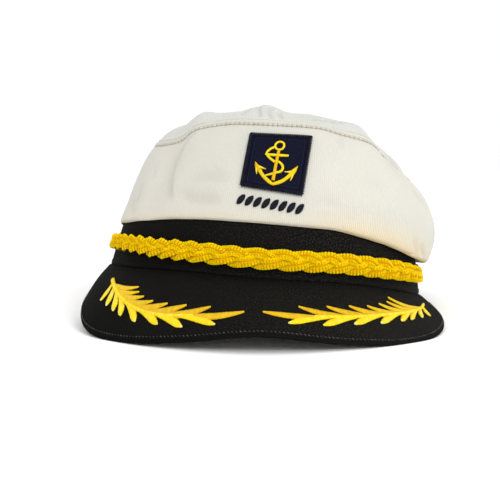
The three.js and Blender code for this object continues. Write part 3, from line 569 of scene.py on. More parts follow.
# %% Crown sizes and sections
CROWN_HEIGHT = 49
TOP_RISE = 14
CLOTH = 1.3
HEM_DROP = 12.4
HEM_OVERHANG = 6.8
BELLY_OVERHANG = 12.2
RIM_INSET = 16
FOLD_DEPTH = 5
SECTION_COLUMNS = ("at", "drop", "hem", "belly", "inset", "up")
SECTIONS = np.array(
    [
        (-180, 0.5, 0.7, 0.7, 0.9, 0.86),
        (-135, 0.6, 0.45, 0.5, 0.88, 0.86),
        (-90, 0.62, 0.05, 0, 0.86, 0.855),
        (-68, 0.52, 0, -0.04, 0.84, 0.818),
        (-53, 0.42, 0, 0.02, 0.9, 0.808),
        (-45, 0.39, 0, 0.06, 0.9, 0.848),
        (-38, 0.35, 0, 0.08, 0.9, 0.93),
        (-20, 0.29, 0, 0.06, 0.97, 0.99),
        (0, 0.28, 0, 0.05, 1.0, 1.004),
        (18, 0.33, 0.06, 0.14, 0.95, 1.005),
        (28, 0.41, 0.16, 0.28, 0.86, 0.963),
        (42, 0.62, 0.35, 0.5, 0.76, 0.93),
        (58, 0.87, 0.7, 0.8, 0.58, 0.84),
        (75, 0.98, 0.76, 0.97, 0.46, 0.75),
        (98, 1.0, 0.78, 1.0, 0.44, 0.745),
        (135, 0.8, 0.9, 0.92, 0.7, 0.8),
    ]
)
FOLDS = (
    # at and wide (degrees), up, tall (shares of the profile), depth (share of FOLD_DEPTH)
    (-45, 5.5, 0.78, 0.2, 0.75),
    (-50, 4, 0.68, 0.2, 0.32),
    (-28, 13, 0.6, 0.09, 0.2),
    (-34, 12, 0.42, 0.08, 0.08),
    (58, 8, 0.86, 0.12, 0.3),
    (-30, 8, 1.3, 0.22, 0.35),
    (-9, 10, 1.38, 0.3, -0.8),
    (9, 7, 1.35, 0.25, 0.3),
    (66, 18, 1.2, 0.22, 2.3),
    (-62, 14, 1.2, 0.2, -0.2),
    (-43, 9, 1.2, 0.2, -0.95),
    (39, 9, 1.15, 0.2, -0.8),
    (-75, 16, 1.4, 0.3, 0.3),
    (130, 18, 0.7, 0.3, 0.5),
    (-150, 16, 0.65, 0.3, 0.45),
    (170, 14, 1.35, 0.3, 0.5),
)


def around(azimuth, column):
    """A column of the sections, read at any turn round the head."""
    at = SECTIONS[:, 0]
    values = SECTIONS[:, SECTION_COLUMNS.index(column)]
    wrapped = (np.asarray(azimuth, float) + 180) % 360 - 180
    return through(wrapped, np.concatenate([at - 360, at, at + 360]), np.tile(values, 3))


def fold_depth(azimuth, up):
    depth = 0
    for at, wide, height, tall, share in FOLDS:
        turn = (azimuth - at + 180) % 360 - 180
        depth = depth + share * np.exp(-((turn / wide) ** 2) - ((up - height) / tall) ** 2)
    return depth * FOLD_DEPTH


print(len(SECTIONS), "crown sections,", len(FOLDS), "folds")

# %% The crown's surface
LINING_STEPS = (
    # from an outer knot to its inner one: across and up, in thicknesses of cloth
    (1, 0.2),
    (1, 0.1),
    (0.9, 0.55),
    (0.3, 1.35),
    (-1, 0.4),
    (-1, 0),
    (-0.95, -0.2),
    (-0.9, -0.4),
    (-0.9, -0.45),
)
FLAT_LINING = (
    # the low inner knots where the cloth lies flat: inwards and up, in thicknesses of cloth
    (0, 0),
    (0.25, 0.45),
    (0.8, 0.9),
    (1.3, 1.6),
    (1.8, 2.6),
)


def crown_profile(azimuth, which):
    """Nine knots of a meridian, as offset from the band's top edge and height."""
    drop = around(azimuth, "drop") * HEM_DROP
    share = np.maximum(0, around(azimuth, "hem"))
    hem = share * HEM_OVERHANG
    belly = around(azimuth, "belly") * BELLY_OVERHANG
    inset = around(azimuth, "inset") * RIM_INSET
    rise = around(azimuth, "up") * CROWN_HEIGHT
    puffed = smooth(share, 0.1, 0.6)

    def clear(down):
        return GAP + BAND_DRAW_IN * down / BAND_HEIGHT

    outer = [
        (clear(0 * drop), 0 * drop),
        (clear(0.35 * drop) + puffed * 0.15 * hem, -0.35 * drop),
        (clear(0.75 * drop) + puffed * 0.4 * hem, -0.75 * drop),
        (clear(drop) + 0.4 * CLOTH + puffed * 0.65 * hem, -drop),
        (clear(drop) + 1.1 * CLOTH + 0.95 * hem, -drop + 0.9 * CLOTH),
        (mix(clear(drop) + CLOTH + hem, belly, 0.85), 0.2 * rise - 0.25 * drop),
        (mix(belly, -inset, 0.26), 0.5 * rise),
        (mix(belly, -inset, 0.6), 0.78 * rise),
        (-inset, rise),
    ]
    if which == "outer":
        return np.stack([np.stack(knot, -1) for knot in outer], -2)
    knots = []
    for k, (across, up) in enumerate(LINING_STEPS):
        offset, height = outer[k][0] + across * CLOTH, outer[k][1] + up * CLOTH
        if k < len(FLAT_LINING):
            inwards, above = FLAT_LINING[k]
            offset = mix(GAP - inwards * CLOTH, offset, puffed)
            height = mix(GAP + above * CLOTH, height, puffed)
        knots.append(np.stack([offset, height], -1))
    return np.stack(knots, -2)


TOP_MIDDLE = np.array([0.02 * HEAD_WIDTH, 0, BAND_HEIGHT + CROWN_HEIGHT + TOP_RISE])
TOP_STATIONS = np.array([0, 0.07, 0.2, 0.38, 0.62, 1])
TOP_FULLNESS = 0.62


def crown_knots(azimuth, which, part):
    profile = crown_profile(azimuth, which)
    side = band_point(azimuth[..., None], BAND_HEIGHT, profile[..., 0])
    side[..., 2] += profile[..., 1]
    if part == "side":
        return side
    rim = side[..., -1:, :]
    middle = TOP_MIDDLE - [0, 0, CLOTH if which == "inner" else 0]
    far = TOP_STATIONS[:, None]
    top = rim + (middle - rim) * far
    swell = (1 - (1 - TOP_STATIONS) ** 2) ** TOP_FULLNESS
    top[..., 2] = mix(rim[..., 2], middle[2], swell)
    return top


def along_knots(knots, t):
    """The centripetal curve through each sample's own knots, read at t from 0 to 1."""
    knots = np.concatenate(
        [2 * knots[:, :1] - knots[:, 1:2], knots, 2 * knots[:, -1:] - knots[:, -2:-1]], 1
    )
    spans = knots.shape[1] - 3
    reach = np.clip(t, 0, 1) * spans
    i = np.minimum(reach.astype(int), spans - 1)
    rest = (reach - i)[:, None]
    row = np.arange(len(t))
    p0, p1, p2, p3 = (knots[row, i + k] for k in range(4))
    d0, d1, d2 = (
        np.maximum(np.linalg.norm(b - a, axis=-1, keepdims=True), 1e-9) ** 0.5
        for a, b in ((p0, p1), (p1, p2), (p2, p3))
    )
    start = ((p1 - p0) / d0 - (p2 - p0) / (d0 + d1) + (p2 - p1) / d1) * d1
    end = ((p2 - p1) / d1 - (p3 - p1) / (d1 + d2) + (p3 - p2) / d2) * d1
    cubic = 2 * p1 - 2 * p2 + start + end
    square = -3 * p1 + 3 * p2 - 2 * start - end
    return p1 + start * rest + square * rest**2 + cubic * rest**3


def crown_point(azimuth, up, which="outer", part="side"):
    """up runs from 0 at the hem to 1 at the rim seam, and on to 2 at the middle of the top."""
    azimuth, up = np.broadcast_arrays(np.asarray(azimuth, float), np.asarray(up, float))
    a, u = azimuth.ravel(), up.ravel()
    p = along_knots(crown_knots(a, which, part), u if part == "side" else u - 1)
    depth = fold_depth(a, u) * smooth(u, 0.1, 0.4) * (1 - smooth(u, 1.75, 2))
    steep = 1 - smooth(u, 0.9, 1.25)
    inward = unit(p * [-1, -1, 0])
    p = p + inward * (depth * mix(0.15, 1, steep))[:, None]
    p[:, 2] -= depth * mix(0.9, 0.1, steep)
    return p.reshape(azimuth.shape + (3,))


print("front of the rim seam at", crown_point(0, 1).round(1), "mm")

# %% [markdown]
# Creases. The real crown has been packed flat: one long soft crease runs down beside the
# patch, two lie across the panel, and the top puckers where it meets the seam. Each is a line
# on the cloth with a steep side and a slack side, which is how a pressed fold relaxes. Cloth
# simulation would give creases too, but not in these places.

# %% Creases and seam relief
CREASES = (
    # points as azimuth and up, reach to the line's right, reach to its left, depth, in mm
    (
        ((-36.5, 0.95), (-40.5, 0.87), (-42.5, 0.8), (-41.5, 0.73), (-39, 0.66), (-37, 0.61)),
        4.5,
        1.1,
        1.25,
    ),
    (((-32, 0.685), (-22.5, 0.695), (-14.5, 0.69)), 1.6, 3.0, 0.75),
    (((-34, 0.625), (-28.5, 0.6), (-22, 0.595), (-16.5, 0.59)), 1.6, 3.2, 0.8),
    (((-60, 0.7), (-59.5, 0.59)), 3.0, 1.5, 0.5),
    (((-56.5, 0.815), (-54, 0.73)), 2.0, 2.0, 0.35),
    (((-66, 0.62), (-58, 0.54)), 3.0, 2.0, 0.5),
    (((-18.5, 1.1), (-17, 1.32), (-12, 1.45)), 3.0, 1.4, 0.9),
    (((-8.5, 1.04), (-11, 1.25), (-14, 1.45)), 1.3, 2.2, 0.8),
    (((-3, 1.03), (-6, 1.2), (-4, 1.38)), 2.2, 1.3, 0.8),
    (((2, 1.05), (0, 1.22), (6, 1.4)), 1.4, 2.4, 0.8),
    (((12, 1.1), (23, 1.2), (39, 1.3), (50, 1.22)), 3.4, 1.6, 1.2),
    (((50.5, 0.99), (49, 0.91), (57, 0.86)), 1.4, 2.6, 0.8),
    (((27.5, 0.95), (26, 0.86)), 2.4, 1.4, 0.35),
    (((62, 0.8), (72, 0.76)), 2.0, 3.0, 0.6),
    (((14, 0.63), (25, 0.615)), 2.0, 4.0, 0.35),
    (((34, 0.75), (42, 0.735)), 2.0, 3.0, 0.3),
    (((55, 0.57), (60, 0.51), (57, 0.47)), 1.4, 3.0, 0.8),
    (((61, 0.56), (68, 0.51)), 2.4, 1.4, 0.7),
    (((74, 0.66), (82, 0.56)), 2.4, 1.6, 0.7),
    (((100, 0.9), (104, 0.72), (98, 0.58)), 4.0, 1.6, 1.1),
    (((150, 0.85), (140, 0.7), (142, 0.6)), 4.5, 1.8, 1.1),
    (((-110, 0.88), (-120, 0.74), (-116, 0.62)), 1.8, 4.2, 1.0),
    (((-170, 0.8), (-150, 0.72)), 2.0, 4.5, 1.0),
    (((160, 1.2), (175, 1.45)), 2.0, 4.5, 1.0),
    (((-120, 1.15), (-100, 1.35), (-96, 1.5)), 4.0, 1.8, 1.0),
    (((80, 1.2), (95, 1.4)), 2.0, 4.0, 0.8),
)
CREASE_PRESS = 1.9
# Millimetres of cloth in a degree round the wall, and in a whole step of up.
DEGREE = 1.6
SHARE = 100.0
# Past the rim seam a degree shrinks, and here, just past the middle of the top, it is nothing.
TOP_END = 2.1
# Cloth in a whole step of up near the seam: on the wall, by its height, and on the top, in mm.
WALL_CLOTH = 2.1
TOP_CLOTH = 75
CLOTH_WAVES = (
    # how wide and how high the cloth's gentle waves are, in mm
    (26, 0.55),
    (9, 0.22),
)
PATCH_TURN = 1.0
SEAM_ROW = 3.2
SEAM_ROW_WIDTH = 0.7
SEAM_STITCHES = 170
LINING_SLACK = 0.6


def ridge(x, at, width, height):
    """A rounded ridge that stands at a place on x and fades within its width."""
    return height * np.exp(-(((x - at) / width) ** 2))


def wall_height(azimuth):
    """Length of cloth that a whole share of up stands for, near the rim."""
    return around(azimuth, "up") * CROWN_HEIGHT * WALL_CLOTH


def needle_holes(azimuth, below):
    """1 in the middle of a needle hole of the topstitching, 0 away from it."""
    near = 0.5 + 0.5 * np.cos(np.radians(azimuth + 180) * SEAM_STITCHES)
    return near**4 * ridge(below, SEAM_ROW, SEAM_ROW_WIDTH, 1)


def crease_depth(azimuth, up):
    """How deep all the creases press the cloth in at a place, in mm."""
    near = np.clip(TOP_END - up, 0, 1)
    depth = np.zeros(azimuth.shape)
    for points, right, left, deep in CREASES:
        line = np.array([(a * DEGREE * min(1, TOP_END - u), u * SHARE) for a, u in points])
        spans = len(line) - 1
        mid = points[len(points) // 2][0]
        turn = (azimuth - mid + 180) % 360 - 180 + mid
        here = np.stack([turn * DEGREE * near, up * SHARE], -1)
        best = np.full(azimuth.shape, 1e9)
        signed = np.zeros(azimuth.shape)
        place_on = np.zeros(azimuth.shape)
        for k in range(spans):
            step = line[k + 1] - line[k]
            t = np.clip((here - line[k]) @ step / (step @ step), 0, 1)
            off = here - line[k] - t[..., None] * step
            distance = np.linalg.norm(off, axis=-1)
            side = np.sign(off[..., 0] * step[1] - off[..., 1] * step[0])
            closer = distance < best
            best = np.where(closer, distance, best)
            signed = np.where(closer, distance * side, signed)
            place_on = np.where(closer, (k + t) / spans, place_on)
        reach = np.where(signed > 0, right, left)
        fade = 1 - np.abs(2 * place_on - 1) ** 3 * 0.9
        depth += fade * ridge(signed, 0, reach, deep)
    return depth * CREASE_PRESS


def relief(azimuth, up, points):
    """Height of the cloth's small forms above the smooth crown, in mm."""
    flat_a, flat_u = azimuth.ravel(), up.ravel()
    waves = [
        sum(high * noise.noise(Vector(p) / wide) for wide, high in CLOTH_WAVES)
        for p in points.reshape(-1, 3)
    ]
    height = np.array(waves) - crease_depth(flat_a, flat_u)
    below = np.abs(1 - flat_u) * np.where(flat_u <= 1, wall_height(flat_a), TOP_CLOTH)
    turned_in = ridge(below, 1.5, 1.1, 0.5) - ridge(below, SEAM_ROW, SEAM_ROW_WIDTH, 0.3)
    turned_in -= 0.35 * needle_holes(flat_a, below)
    height += np.where(flat_u <= 1, turned_in, ridge(below, 1.6, 1.2, 0.25))
    height -= ridge(below, 0, 0.5, 0.2)
    flat_patch = (1 - smooth(np.abs(flat_a - PATCH_TURN), 12, 17)) * smooth(flat_u, 0.42, 0.5)
    flat_patch *= 1 - smooth(flat_u, 0.93, 0.955)
    height *= 1 - 0.9 * flat_patch
    return (height * smooth(flat_u, 0.15, 0.45)).reshape(azimuth.shape)


def crown_cloth(azimuth, up, part="side", which="outer"):
    """The finished cloth, creases and all, and its outward direction."""
    azimuth, up = np.broadcast_arrays(np.asarray(azimuth, float), np.asarray(up, float))
    low, high = (0, 1) if part == "side" else (1, 2)
    turn_step, up_step = 0.7, 0.006
    points = crown_point(azimuth, up, which, part)
    across = crown_point(azimuth + turn_step, up, which, part)
    across = across - crown_point(azimuth - turn_step, up, which, part)
    above = crown_point(azimuth, np.minimum(up + up_step, high), which, part)
    rising = above - crown_point(azimuth, np.maximum(up - up_step, low), which, part)
    normal = unit(np.cross(across, rising))
    if part == "top":
        normal = mix(normal, np.array([0, 0, 1.0]), smooth(up, 1.9, 2)[..., None])
    if which == "inner":
        slack = LINING_SLACK * (1 - smooth(up, 0.8, 0.95))
        pressed = crease_depth(azimuth.ravel(), up.ravel()).reshape(azimuth.shape)
        height = -(pressed + slack) * smooth(up, 0.25, 0.45)
    else:
        height = relief(azimuth, up, points)
    return points + normal * height[..., None], normal


print(len(CREASES), "creases and a row of", SEAM_STITCHES, "seam stitches")

# %% [markdown]
# The side wall and the top panel. Both are cloth with two faces, an edge at the rim seam, and
# nothing between. The wall's rows crowd near the seam, where the turned-in edge makes a ridge.

# %% Crown side wall
AROUND = 784
turns = -180 + 360 * np.arange(AROUND) / AROUND
SEAM_STOP = 0.001
outer_ups = np.concatenate(
    [np.linspace(0, 0.36, 14), np.linspace(0.37, 0.92, 48), np.linspace(0.927, 1 - SEAM_STOP, 18)]
)
inner_ups = np.concatenate([np.linspace(0, 0.4, 10), np.linspace(0.45, 1 - SEAM_STOP, 16)])
outside = crown_cloth(turns[:, None], outer_ups)[0]
inside = crown_cloth(turns[:, None], inner_ups, which="inner")[0][:, ::-1]
section = np.concatenate([outside, inside], 1)
all_ups = np.concatenate([outer_ups, inner_ups[::-1], outer_ups[:1]])
around_map = np.linspace(0, CLOTH_GIRTH, AROUND + 1)
side_map = np.stack(np.broadcast_arrays(around_map[:, None], all_ups[None] * 0.1), -1)
below_grid = (1 - all_ups[:-1]) * wall_height(turns)[:, None]
# Painted shade in the seam row's needle holes and along its groove, carried by the wall's points.
grime = 0.8 * needle_holes(turns[:, None], below_grid)
grime = grime + ridge(below_grid, SEAM_ROW, 1.2, 0.14)
# Painted light: a warm tint low on the wall, strongest at the front towards the wearer's left.
warm_light_side = 0.25 + 0.75 * smooth(turns, 8, 34) * (1 - smooth(turns, 54, 80))
warm = (1 - smooth(all_ups[:-1], 0.44, 0.64)) * warm_light_side[:, None]
# How deep the creases press in, read by the material as painted shade.
crease = crease_depth(*(g.ravel() for g in np.broadcast_arrays(turns[:, None], all_ups[:-1])))
marks = {"grime": grime, "warm": warm, "crease": crease.reshape(AROUND, -1)}
crown_wall = skin("crown_wall", place(section), side_map, cotton, ring=True, loop=True, marks=marks)
settle(crown_wall, "white_twill", "crown_side")

# %% Crown top panel
top_ups = np.concatenate([np.linspace(1 + SEAM_STOP, 1.06, 8), np.linspace(1.075, 2, 36)])
under_ups = np.concatenate([[1 + SEAM_STOP], np.linspace(1.1, 2, 16)])
outside = crown_cloth(turns[:, None], top_ups, "top")[0][:, ::-1]
inside = crown_cloth(turns[:, None], under_ups, "top", "inner")[0]
section = np.concatenate([outside, inside], 1)
flat = np.concatenate([section, section[:1]]) / 1000
panel_ups = np.concatenate([top_ups[::-1], under_ups])
# How deep the creases press in, read by the material as painted shade.
crease = crease_depth(*(g.ravel() for g in np.broadcast_arrays(turns[:, None], panel_ups)))
# Painted shade: the cooler grey band on the top panel, from the rim seam inwards.
cool_shade_on_top = 0.42 * smooth(panel_ups, 1, 1.05) * (1 - smooth(panel_ups, 1.3, 1.7))
marks = {"crease": crease.reshape(AROUND, -1), "cool": cool_shade_on_top}
panel_map = flat[..., :2]
crown_panel = skin(
    "crown_panel", place(section), panel_map, cotton, ring=True, weld=1e-6, marks=marks
)
settle(crown_panel, "white_twill", "crown_top")

# %% [markdown]
# Topstitching. A machine sews the turned-in edge down with one row just under the seam. The
# thread is cream and goes in at the needle holes, which the wall's own relief has.

# %% Topstitching at the rim seam
SEAM_STITCH = (2.2, 0.6, 0.5)
SEAM_STITCH_LIFT = 0.12
row_turns = -180 + 360 * (np.arange(SEAM_STITCHES) + 0.5) / SEAM_STITCHES
row_ups = 1 - SEAM_ROW / wall_height(row_turns)
row_points, row_normals = crown_cloth(row_turns, row_ups)
row_ahead = crown_cloth(row_turns + 0.4, row_ups)[0] - crown_cloth(row_turns - 0.4, row_ups)[0]
chance = np.random.default_rng(3)
row_base = place(row_points + row_normals * SEAM_STITCH_LIFT)
spots = {
    "middle": row_base,
    "x_axis": place(row_points + unit(row_ahead)) - place(row_points - unit(row_ahead)),
    "z_axis": place(row_points + row_normals) - row_base + 1e-9,
    "size": np.array(SEAM_STITCH) / 1000,
    "tone": chance.uniform(0.4, 1.0, SEAM_STITCHES),
}
seam_stitches = stitches("seam_stitches", seam_thread, spots, Arch=0.7, Taper=0.8, Steps=6, Sides=6)
settle(seam_stitches, "white_twill")

# %% [markdown]
# The band is a plain ring of black twill over stiff tape. Its lower edge is rolled and stands
# a little proud of the peak. The ring is drawn in section, with round corners, because a plain
# cylinder would have the hard edges of a pipe.

# %% Band
def ring_piece(name, offsets, heights, finish, slot, *nodes):
    offsets, heights = np.asarray(offsets, float), np.asarray(heights, float)
    points = band_point(turns[:, None], heights, offsets)
    steps = np.hypot(np.diff(offsets, append=offsets[0]), np.diff(heights, append=heights[0]))
    run = np.concatenate([[0], np.cumsum(steps)])
    ring_map = np.stack(np.broadcast_arrays(around_map[:, None], run[None] / 1000), -1)
    piece = skin(name, place(points), ring_map, finish, ring=True, loop=True)
    settle(piece, slot, *nodes)
    return piece


bead = np.radians(np.linspace(-100, 75, 9))
welt = 1.5
offsets = np.concatenate(
    [
        0.15 + 0.5 * np.cos(bead) - 0.5,
        [-0.12, -0.02, 0, 0, 0, 0, 0, -0.1, -0.4, -BAND_WALL + 0.4, -BAND_WALL],
        [-BAND_WALL, -BAND_WALL, -BAND_WALL, -BAND_WALL + 0.35],
    ]
)
heights = np.concatenate(
    [
        welt - 0.1 + (welt + 0.1) * np.sin(bead),
        [2 * welt + 0.25, 2 * welt + 0.8, 6, 12, 18, 24],
        [28.4, 29.2, BAND_HEIGHT, BAND_HEIGHT, 29.1],
        [20, 10, 0.5, -0.05],
    ]
)
ring_piece("hat_band", offsets, heights, band_twill, "black_twill", "band")

# %% [markdown]
# The peak is a board covered with the same twill. The cloth is turned round the rim and sewn
# down a few millimetres in, which leaves a shallow groove and a rolled edge. The outline comes
# from a table of how far the rim stands ahead of the band, how it spreads and how it drops. A
# cone cut to the outline would be quicker, but this rim curls down more at its sides.

# %% Peak surface
PEAK_REACH = 44.5
PEAK_DROP = 26
PEAK_SPAN = 81
PEAK_BOW = 2.4
PEAK_TUCK = 1.2
SEAM_LIFT = 0.6
PEAK_RIM = np.array(
    [
        # turn, ahead, spread, drop
        (0, 1, 0, 0.835),
        (0.25, 0.98, 0.12, 0.965),
        (0.5, 1.03, 0.2, 1.02),
        (0.69, 1.09, 0.24, 0.9),
        (0.84, 0.93, 0.21, 0.64),
        (0.94, 0.54, 0.1, 0.32),
        (1, 0.08, 0.01, 0.04),
    ]
)


def rim_value(column, share):
    """turn and spread change sign on the wearer's right, ahead and drop don't."""
    signs = (-1, 1, -1, 1)
    turns_both = np.concatenate([-PEAK_RIM[:0:-1, 0], PEAK_RIM[:, 0]])
    values = np.concatenate([signs[column] * PEAK_RIM[:0:-1, column], PEAK_RIM[:, column]])
    return through(share, turns_both, values)


def peak_top(share, out):
    share, out = np.broadcast_arrays(np.asarray(share, float), np.asarray(out, float))
    seam = band_point(share * PEAK_SPAN, 0, -PEAK_TUCK)
    seam[..., 2] = -GAP
    rim = band_point(share * PEAK_SPAN, 0)
    ahead = rim_value(1, share)
    rim[..., 0] += rim_value(2, share) * PEAK_REACH
    rim[..., 1] -= ahead * PEAK_REACH
    rim[..., 2] = -rim_value(3, share) * PEAK_DROP
    p = mix(seam, rim, out[..., None])
    p[..., 2] += PEAK_BOW * np.sin(math.pi * out) * ahead
    p[..., 2] += SEAM_LIFT * (1 - smooth(out, 0, 0.05))
    p[..., 2] += arch(share * PEAK_SPAN) * (1 - smooth(out, 0, 0.5))
    twist = math.tan(math.radians(LEAN_DEG)) * (1 - share**8) * out**2
    x, y, z = p[..., 0], p[..., 1], p[..., 2]
    return np.stack([x - z * twist, y, z + x * twist], -1)


def peak_normal(share, out):
    e = 0.01
    wide = peak_top(share + e, out) - peak_top(share - e, out)
    long = peak_top(share, out + e) - peak_top(share, out - e)
    normal = unit(np.cross(long, wide))
    return np.where(normal[..., 2:] < 0, -normal, normal)


PEAK_ACROSS = math.radians(PEAK_SPAN) * (HEAD_LENGTH / 2 + 0.2 * PEAK_REACH)
PEAK_ALONG = math.hypot(PEAK_REACH, 0.9 * PEAK_DROP)


def on_peak(x, y, lift):
    """A place on the upper face, x millimetres to the wearer's left, y from band to rim."""
    share, out = np.asarray(x) / PEAK_ACROSS, np.asarray(y) / PEAK_ALONG
    lift = np.broadcast_to(lift, share.shape)[..., None]
    return place(peak_top(share, out) + peak_normal(share, out) * lift)


print("peak stands", round(float(PEAK_REACH * PEAK_RIM[0, 1]), 1), "mm ahead of the band")

# %% Peak
PEAK_COLUMNS = 260
SEW_LINE = 0.952
EDGE = 0.972
BOARD = 2.1
GROOVE_WIDTH = 0.009
GROOVE_DEPTH = 0.36
linear = np.linspace(-1, 1, PEAK_COLUMNS)
shares = np.sign(linear) * (1 - (1 - np.abs(linear)) ** 1.15)
top_outs = np.concatenate([np.linspace(0, 0.9, 22), np.linspace(0.915, EDGE, 16)])
low_outs = np.linspace(EDGE, 0, 16)
half_round = np.radians(np.linspace(80, -80, 9))
outs = np.concatenate([top_outs, EDGE + (1 - EDGE) * np.cos(half_round), low_outs])
depths = np.concatenate([0 * top_outs, 0.5 - 0.5 * np.sin(half_round), 0 * low_outs + 1])
groove = ridge(outs, SEW_LINE, GROOVE_WIDTH, GROOVE_DEPTH) - 0.12 * smooth(outs, SEW_LINE, EDGE)
press = np.where(depths == 0, groove, 0)
share_grid, out_grid = np.meshgrid(shares, outs, indexing="ij")
inset = depths * BOARD + press
points = peak_top(share_grid, out_grid) - peak_normal(share_grid, out_grid) * inset[None, :, None]
peak_map = np.stack([share_grid * PEAK_ACROSS, (out_grid + 2.5 * depths) * PEAK_ALONG], -1) / 1000
peak_map = np.concatenate([peak_map, peak_map[:, :1]], 1)
hat_peak = skin("hat_peak", place(points), peak_map, peak_twill, loop=True, caps=True)
settle(hat_peak, "black_twill", "peak")

# %% Stitches along the rim of the peak
RIM_STITCH = (1.4, 0.42, 0.36)
RIM_STITCH_PITCH = 1.9
RIM_STITCH_END = 0.955
rim_shares = np.linspace(-RIM_STITCH_END, RIM_STITCH_END, 4000)
rim_line = peak_top(rim_shares, SEW_LINE)
rim_run = np.concatenate([[0], np.cumsum(np.linalg.norm(np.diff(rim_line, axis=0), axis=1))])
rim_count = int(rim_run[-1] / RIM_STITCH_PITCH)
rim_at = np.interp((np.arange(rim_count) + 0.5) * rim_run[-1] / rim_count, rim_run, rim_shares)
slant = np.full(rim_count, 0.5)
chance = np.random.default_rng(11)
spots = on_surface(
    on_peak,
    rim_at * PEAK_ACROSS,
    np.full(rim_count, SEW_LINE * PEAK_ALONG),
    slant,
    0.0,
    RIM_STITCH,
    chance.uniform(0.1, 0.9, rim_count),
)
peak_stitches = stitches("peak_stitches", peak_thread, spots, Arch=0.8, Taper=0.8, Steps=5, Sides=5)
settle(peak_stitches, "black_twill")

# %% [markdown]
# The braid is three knitted cords plaited flat. Each cord swings from edge to edge. As it leaves
# an edge it goes over one neighbour, and past the middle it goes under the other. Sine waves
# give a plait at once, where placing each crossing by hand would take a hundred points. The
# plait isn't even: tables say how it sags, tightens and narrows from one button to the other.

# %% Path of the braid
BRAID_HEIGHT = 11
BRAID_SLANT = 1
BRAID_WIDTH = 10.2
BRAID_SPAN = 94
CORD_THICKNESS = 2.2
CORD_DIP = 1.5
DIP_SHARPNESS = 0.22
UPPER_LIFT = 0.12
# How far the plait is pressed flat and pulled narrow at its ends, and over what length.
BRAID_END_PRESS = 0.42
BRAID_END_REACH = 70
LEFT_END_PRESS = 0.25
LEFT_END_REACH = 80
RIGHT_END_WIDTH = 0.78
RIGHT_NARROW = (30, 110)
LEFT_END_WIDTH = 0.72
LEFT_NARROW = (0, 90)
# How pointed the lobes are on the right and on the left, and where one becomes the other.
LOBES = (-0.07, 0.0)
LOBES_CHANGE = (120, 240)
SAG_TURNS = (-180, -90, -62, -50, -45, -38, -24, -8, 0, 12, 24, 40, 56, 80, 180)
SAG = (0.3, 0.3, 0, 0.6, 1.1, 2.0, 2.5, 2.6, 2.6, 2.3, 2.0, 1.7, 0.8, 0, 0)
LAY_AT = (0, 105, 130, 160, 178, 216, 240, 310)
LAY = (28, 27, 33, 36, 32, 35, 39, 39)
SWAY_AT = (0, 90, 150, 200, 260, 310)
SWAY = (0.5, 0.51, 0.51, 0.49, 0.44, 0.38)


def braid_height(azimuth):
    level = BRAID_HEIGHT - BRAID_SLANT * np.sin(np.radians(azimuth))
    return level - through(azimuth, SAG_TURNS, SAG)


fine_turns = np.linspace(-BRAID_SPAN, BRAID_SPAN, 1441)
fine_path = band_point(fine_turns, braid_height(fine_turns))
fine_run = np.concatenate([[0], np.cumsum(np.linalg.norm(np.diff(fine_path, axis=0), axis=1))])
BRAID_LENGTH = fine_run[-1]
fine_lay = through((fine_run[1:] + fine_run[:-1]) / 2, LAY_AT, LAY)
fine_wound = np.concatenate([[0], np.cumsum(np.diff(fine_run) / fine_lay)])


def braid_axes(azimuth):
    """Foot on the band, and the directions along, up and out."""
    e = 0.5
    height = braid_height(azimuth)
    foot = band_point(azimuth, height)
    ahead, behind = (band_point(turn, braid_height(turn)) for turn in (azimuth + e, azimuth - e))
    forward = unit(ahead - behind)
    up = band_point(azimuth, height + e) - band_point(azimuth, height - e)
    up = unit(up - forward * (up * forward).sum(-1, keepdims=True))
    out = np.cross(forward, up)
    flip = np.sign((out * foot * [1, 1, 0]).sum(-1, keepdims=True))
    return foot, forward, up, out * flip


def slimmer(length):
    """The plait is pulled narrow towards its two buttons."""
    narrow = mix(RIGHT_END_WIDTH, 1, smooth(length, *RIGHT_NARROW))
    return narrow * mix(LEFT_END_WIDTH, 1, smooth(BRAID_LENGTH - length, *LEFT_NARROW))


def cord_middle(length, phase):
    """The middle of a cord, the way out from the band and how far the plait is pressed."""
    foot, _, up, out = braid_axes(np.interp(length, fine_run, fine_turns))
    press = mix(BRAID_END_PRESS, 1, smooth(length, 0, BRAID_END_REACH))
    press = press * mix(LEFT_END_PRESS, 1, smooth(BRAID_LENGTH - length, 0, LEFT_END_REACH))
    angle = TAU * np.interp(length, fine_run, fine_wound) + phase
    beat = np.sin(angle)
    point = mix(*LOBES, smooth(length, *LOBES_CHANGE))
    lobe = (beat - point * np.sin(3 * angle)) / (1 + point)
    sway = BRAID_WIDTH / 2 * slimmer(length) * through(length, SWAY_AT, SWAY)
    swing = sway * (lobe + UPPER_LIFT * (1 - beat**2))
    dip = -CORD_DIP * press * (np.sin(2 * angle) - DIP_SHARPNESS * np.sin(4 * angle))
    depth = GAP + press * (CORD_DIP + CORD_THICKNESS / 2) + dip
    return foot + up * swing[..., None] + out * depth[..., None], out, press


print("braid is", round(float(BRAID_LENGTH), 1), "mm long")

# %% [markdown]
# A knitted cord shows columns of small V stitches. A tube makes the body, coloured a darker
# orange as painted shade between the stitches, and Geometry Nodes put the V stitches on its
# outer face, column by column.

# %% Knitted cords
ROW_PITCH = 1.38
WALE_TURNS = np.radians([14, 40, 70, 110, 140, 166])
LEG_LEAN = 0.42
LEG_SHIFT = 0.3
LEG_SIZE = (1.55, 0.58, 0.62)
# Near a cord's edges the legs lean and shift this much as far.
EDGE_LEAN = 0.2
EDGE_SHIFT = -0.2
# A cord is longer than the braid that it runs through.
CORD_PER_BRAID = 1.22
# Room that the body leaves for the stitches, at its edges and on its faces.
EDGE_ROOM = 0.35
FACE_ROOM = 0.3
PRESSED_THICKNESS = 0.6
CORD_SQUARENESS = 0.8


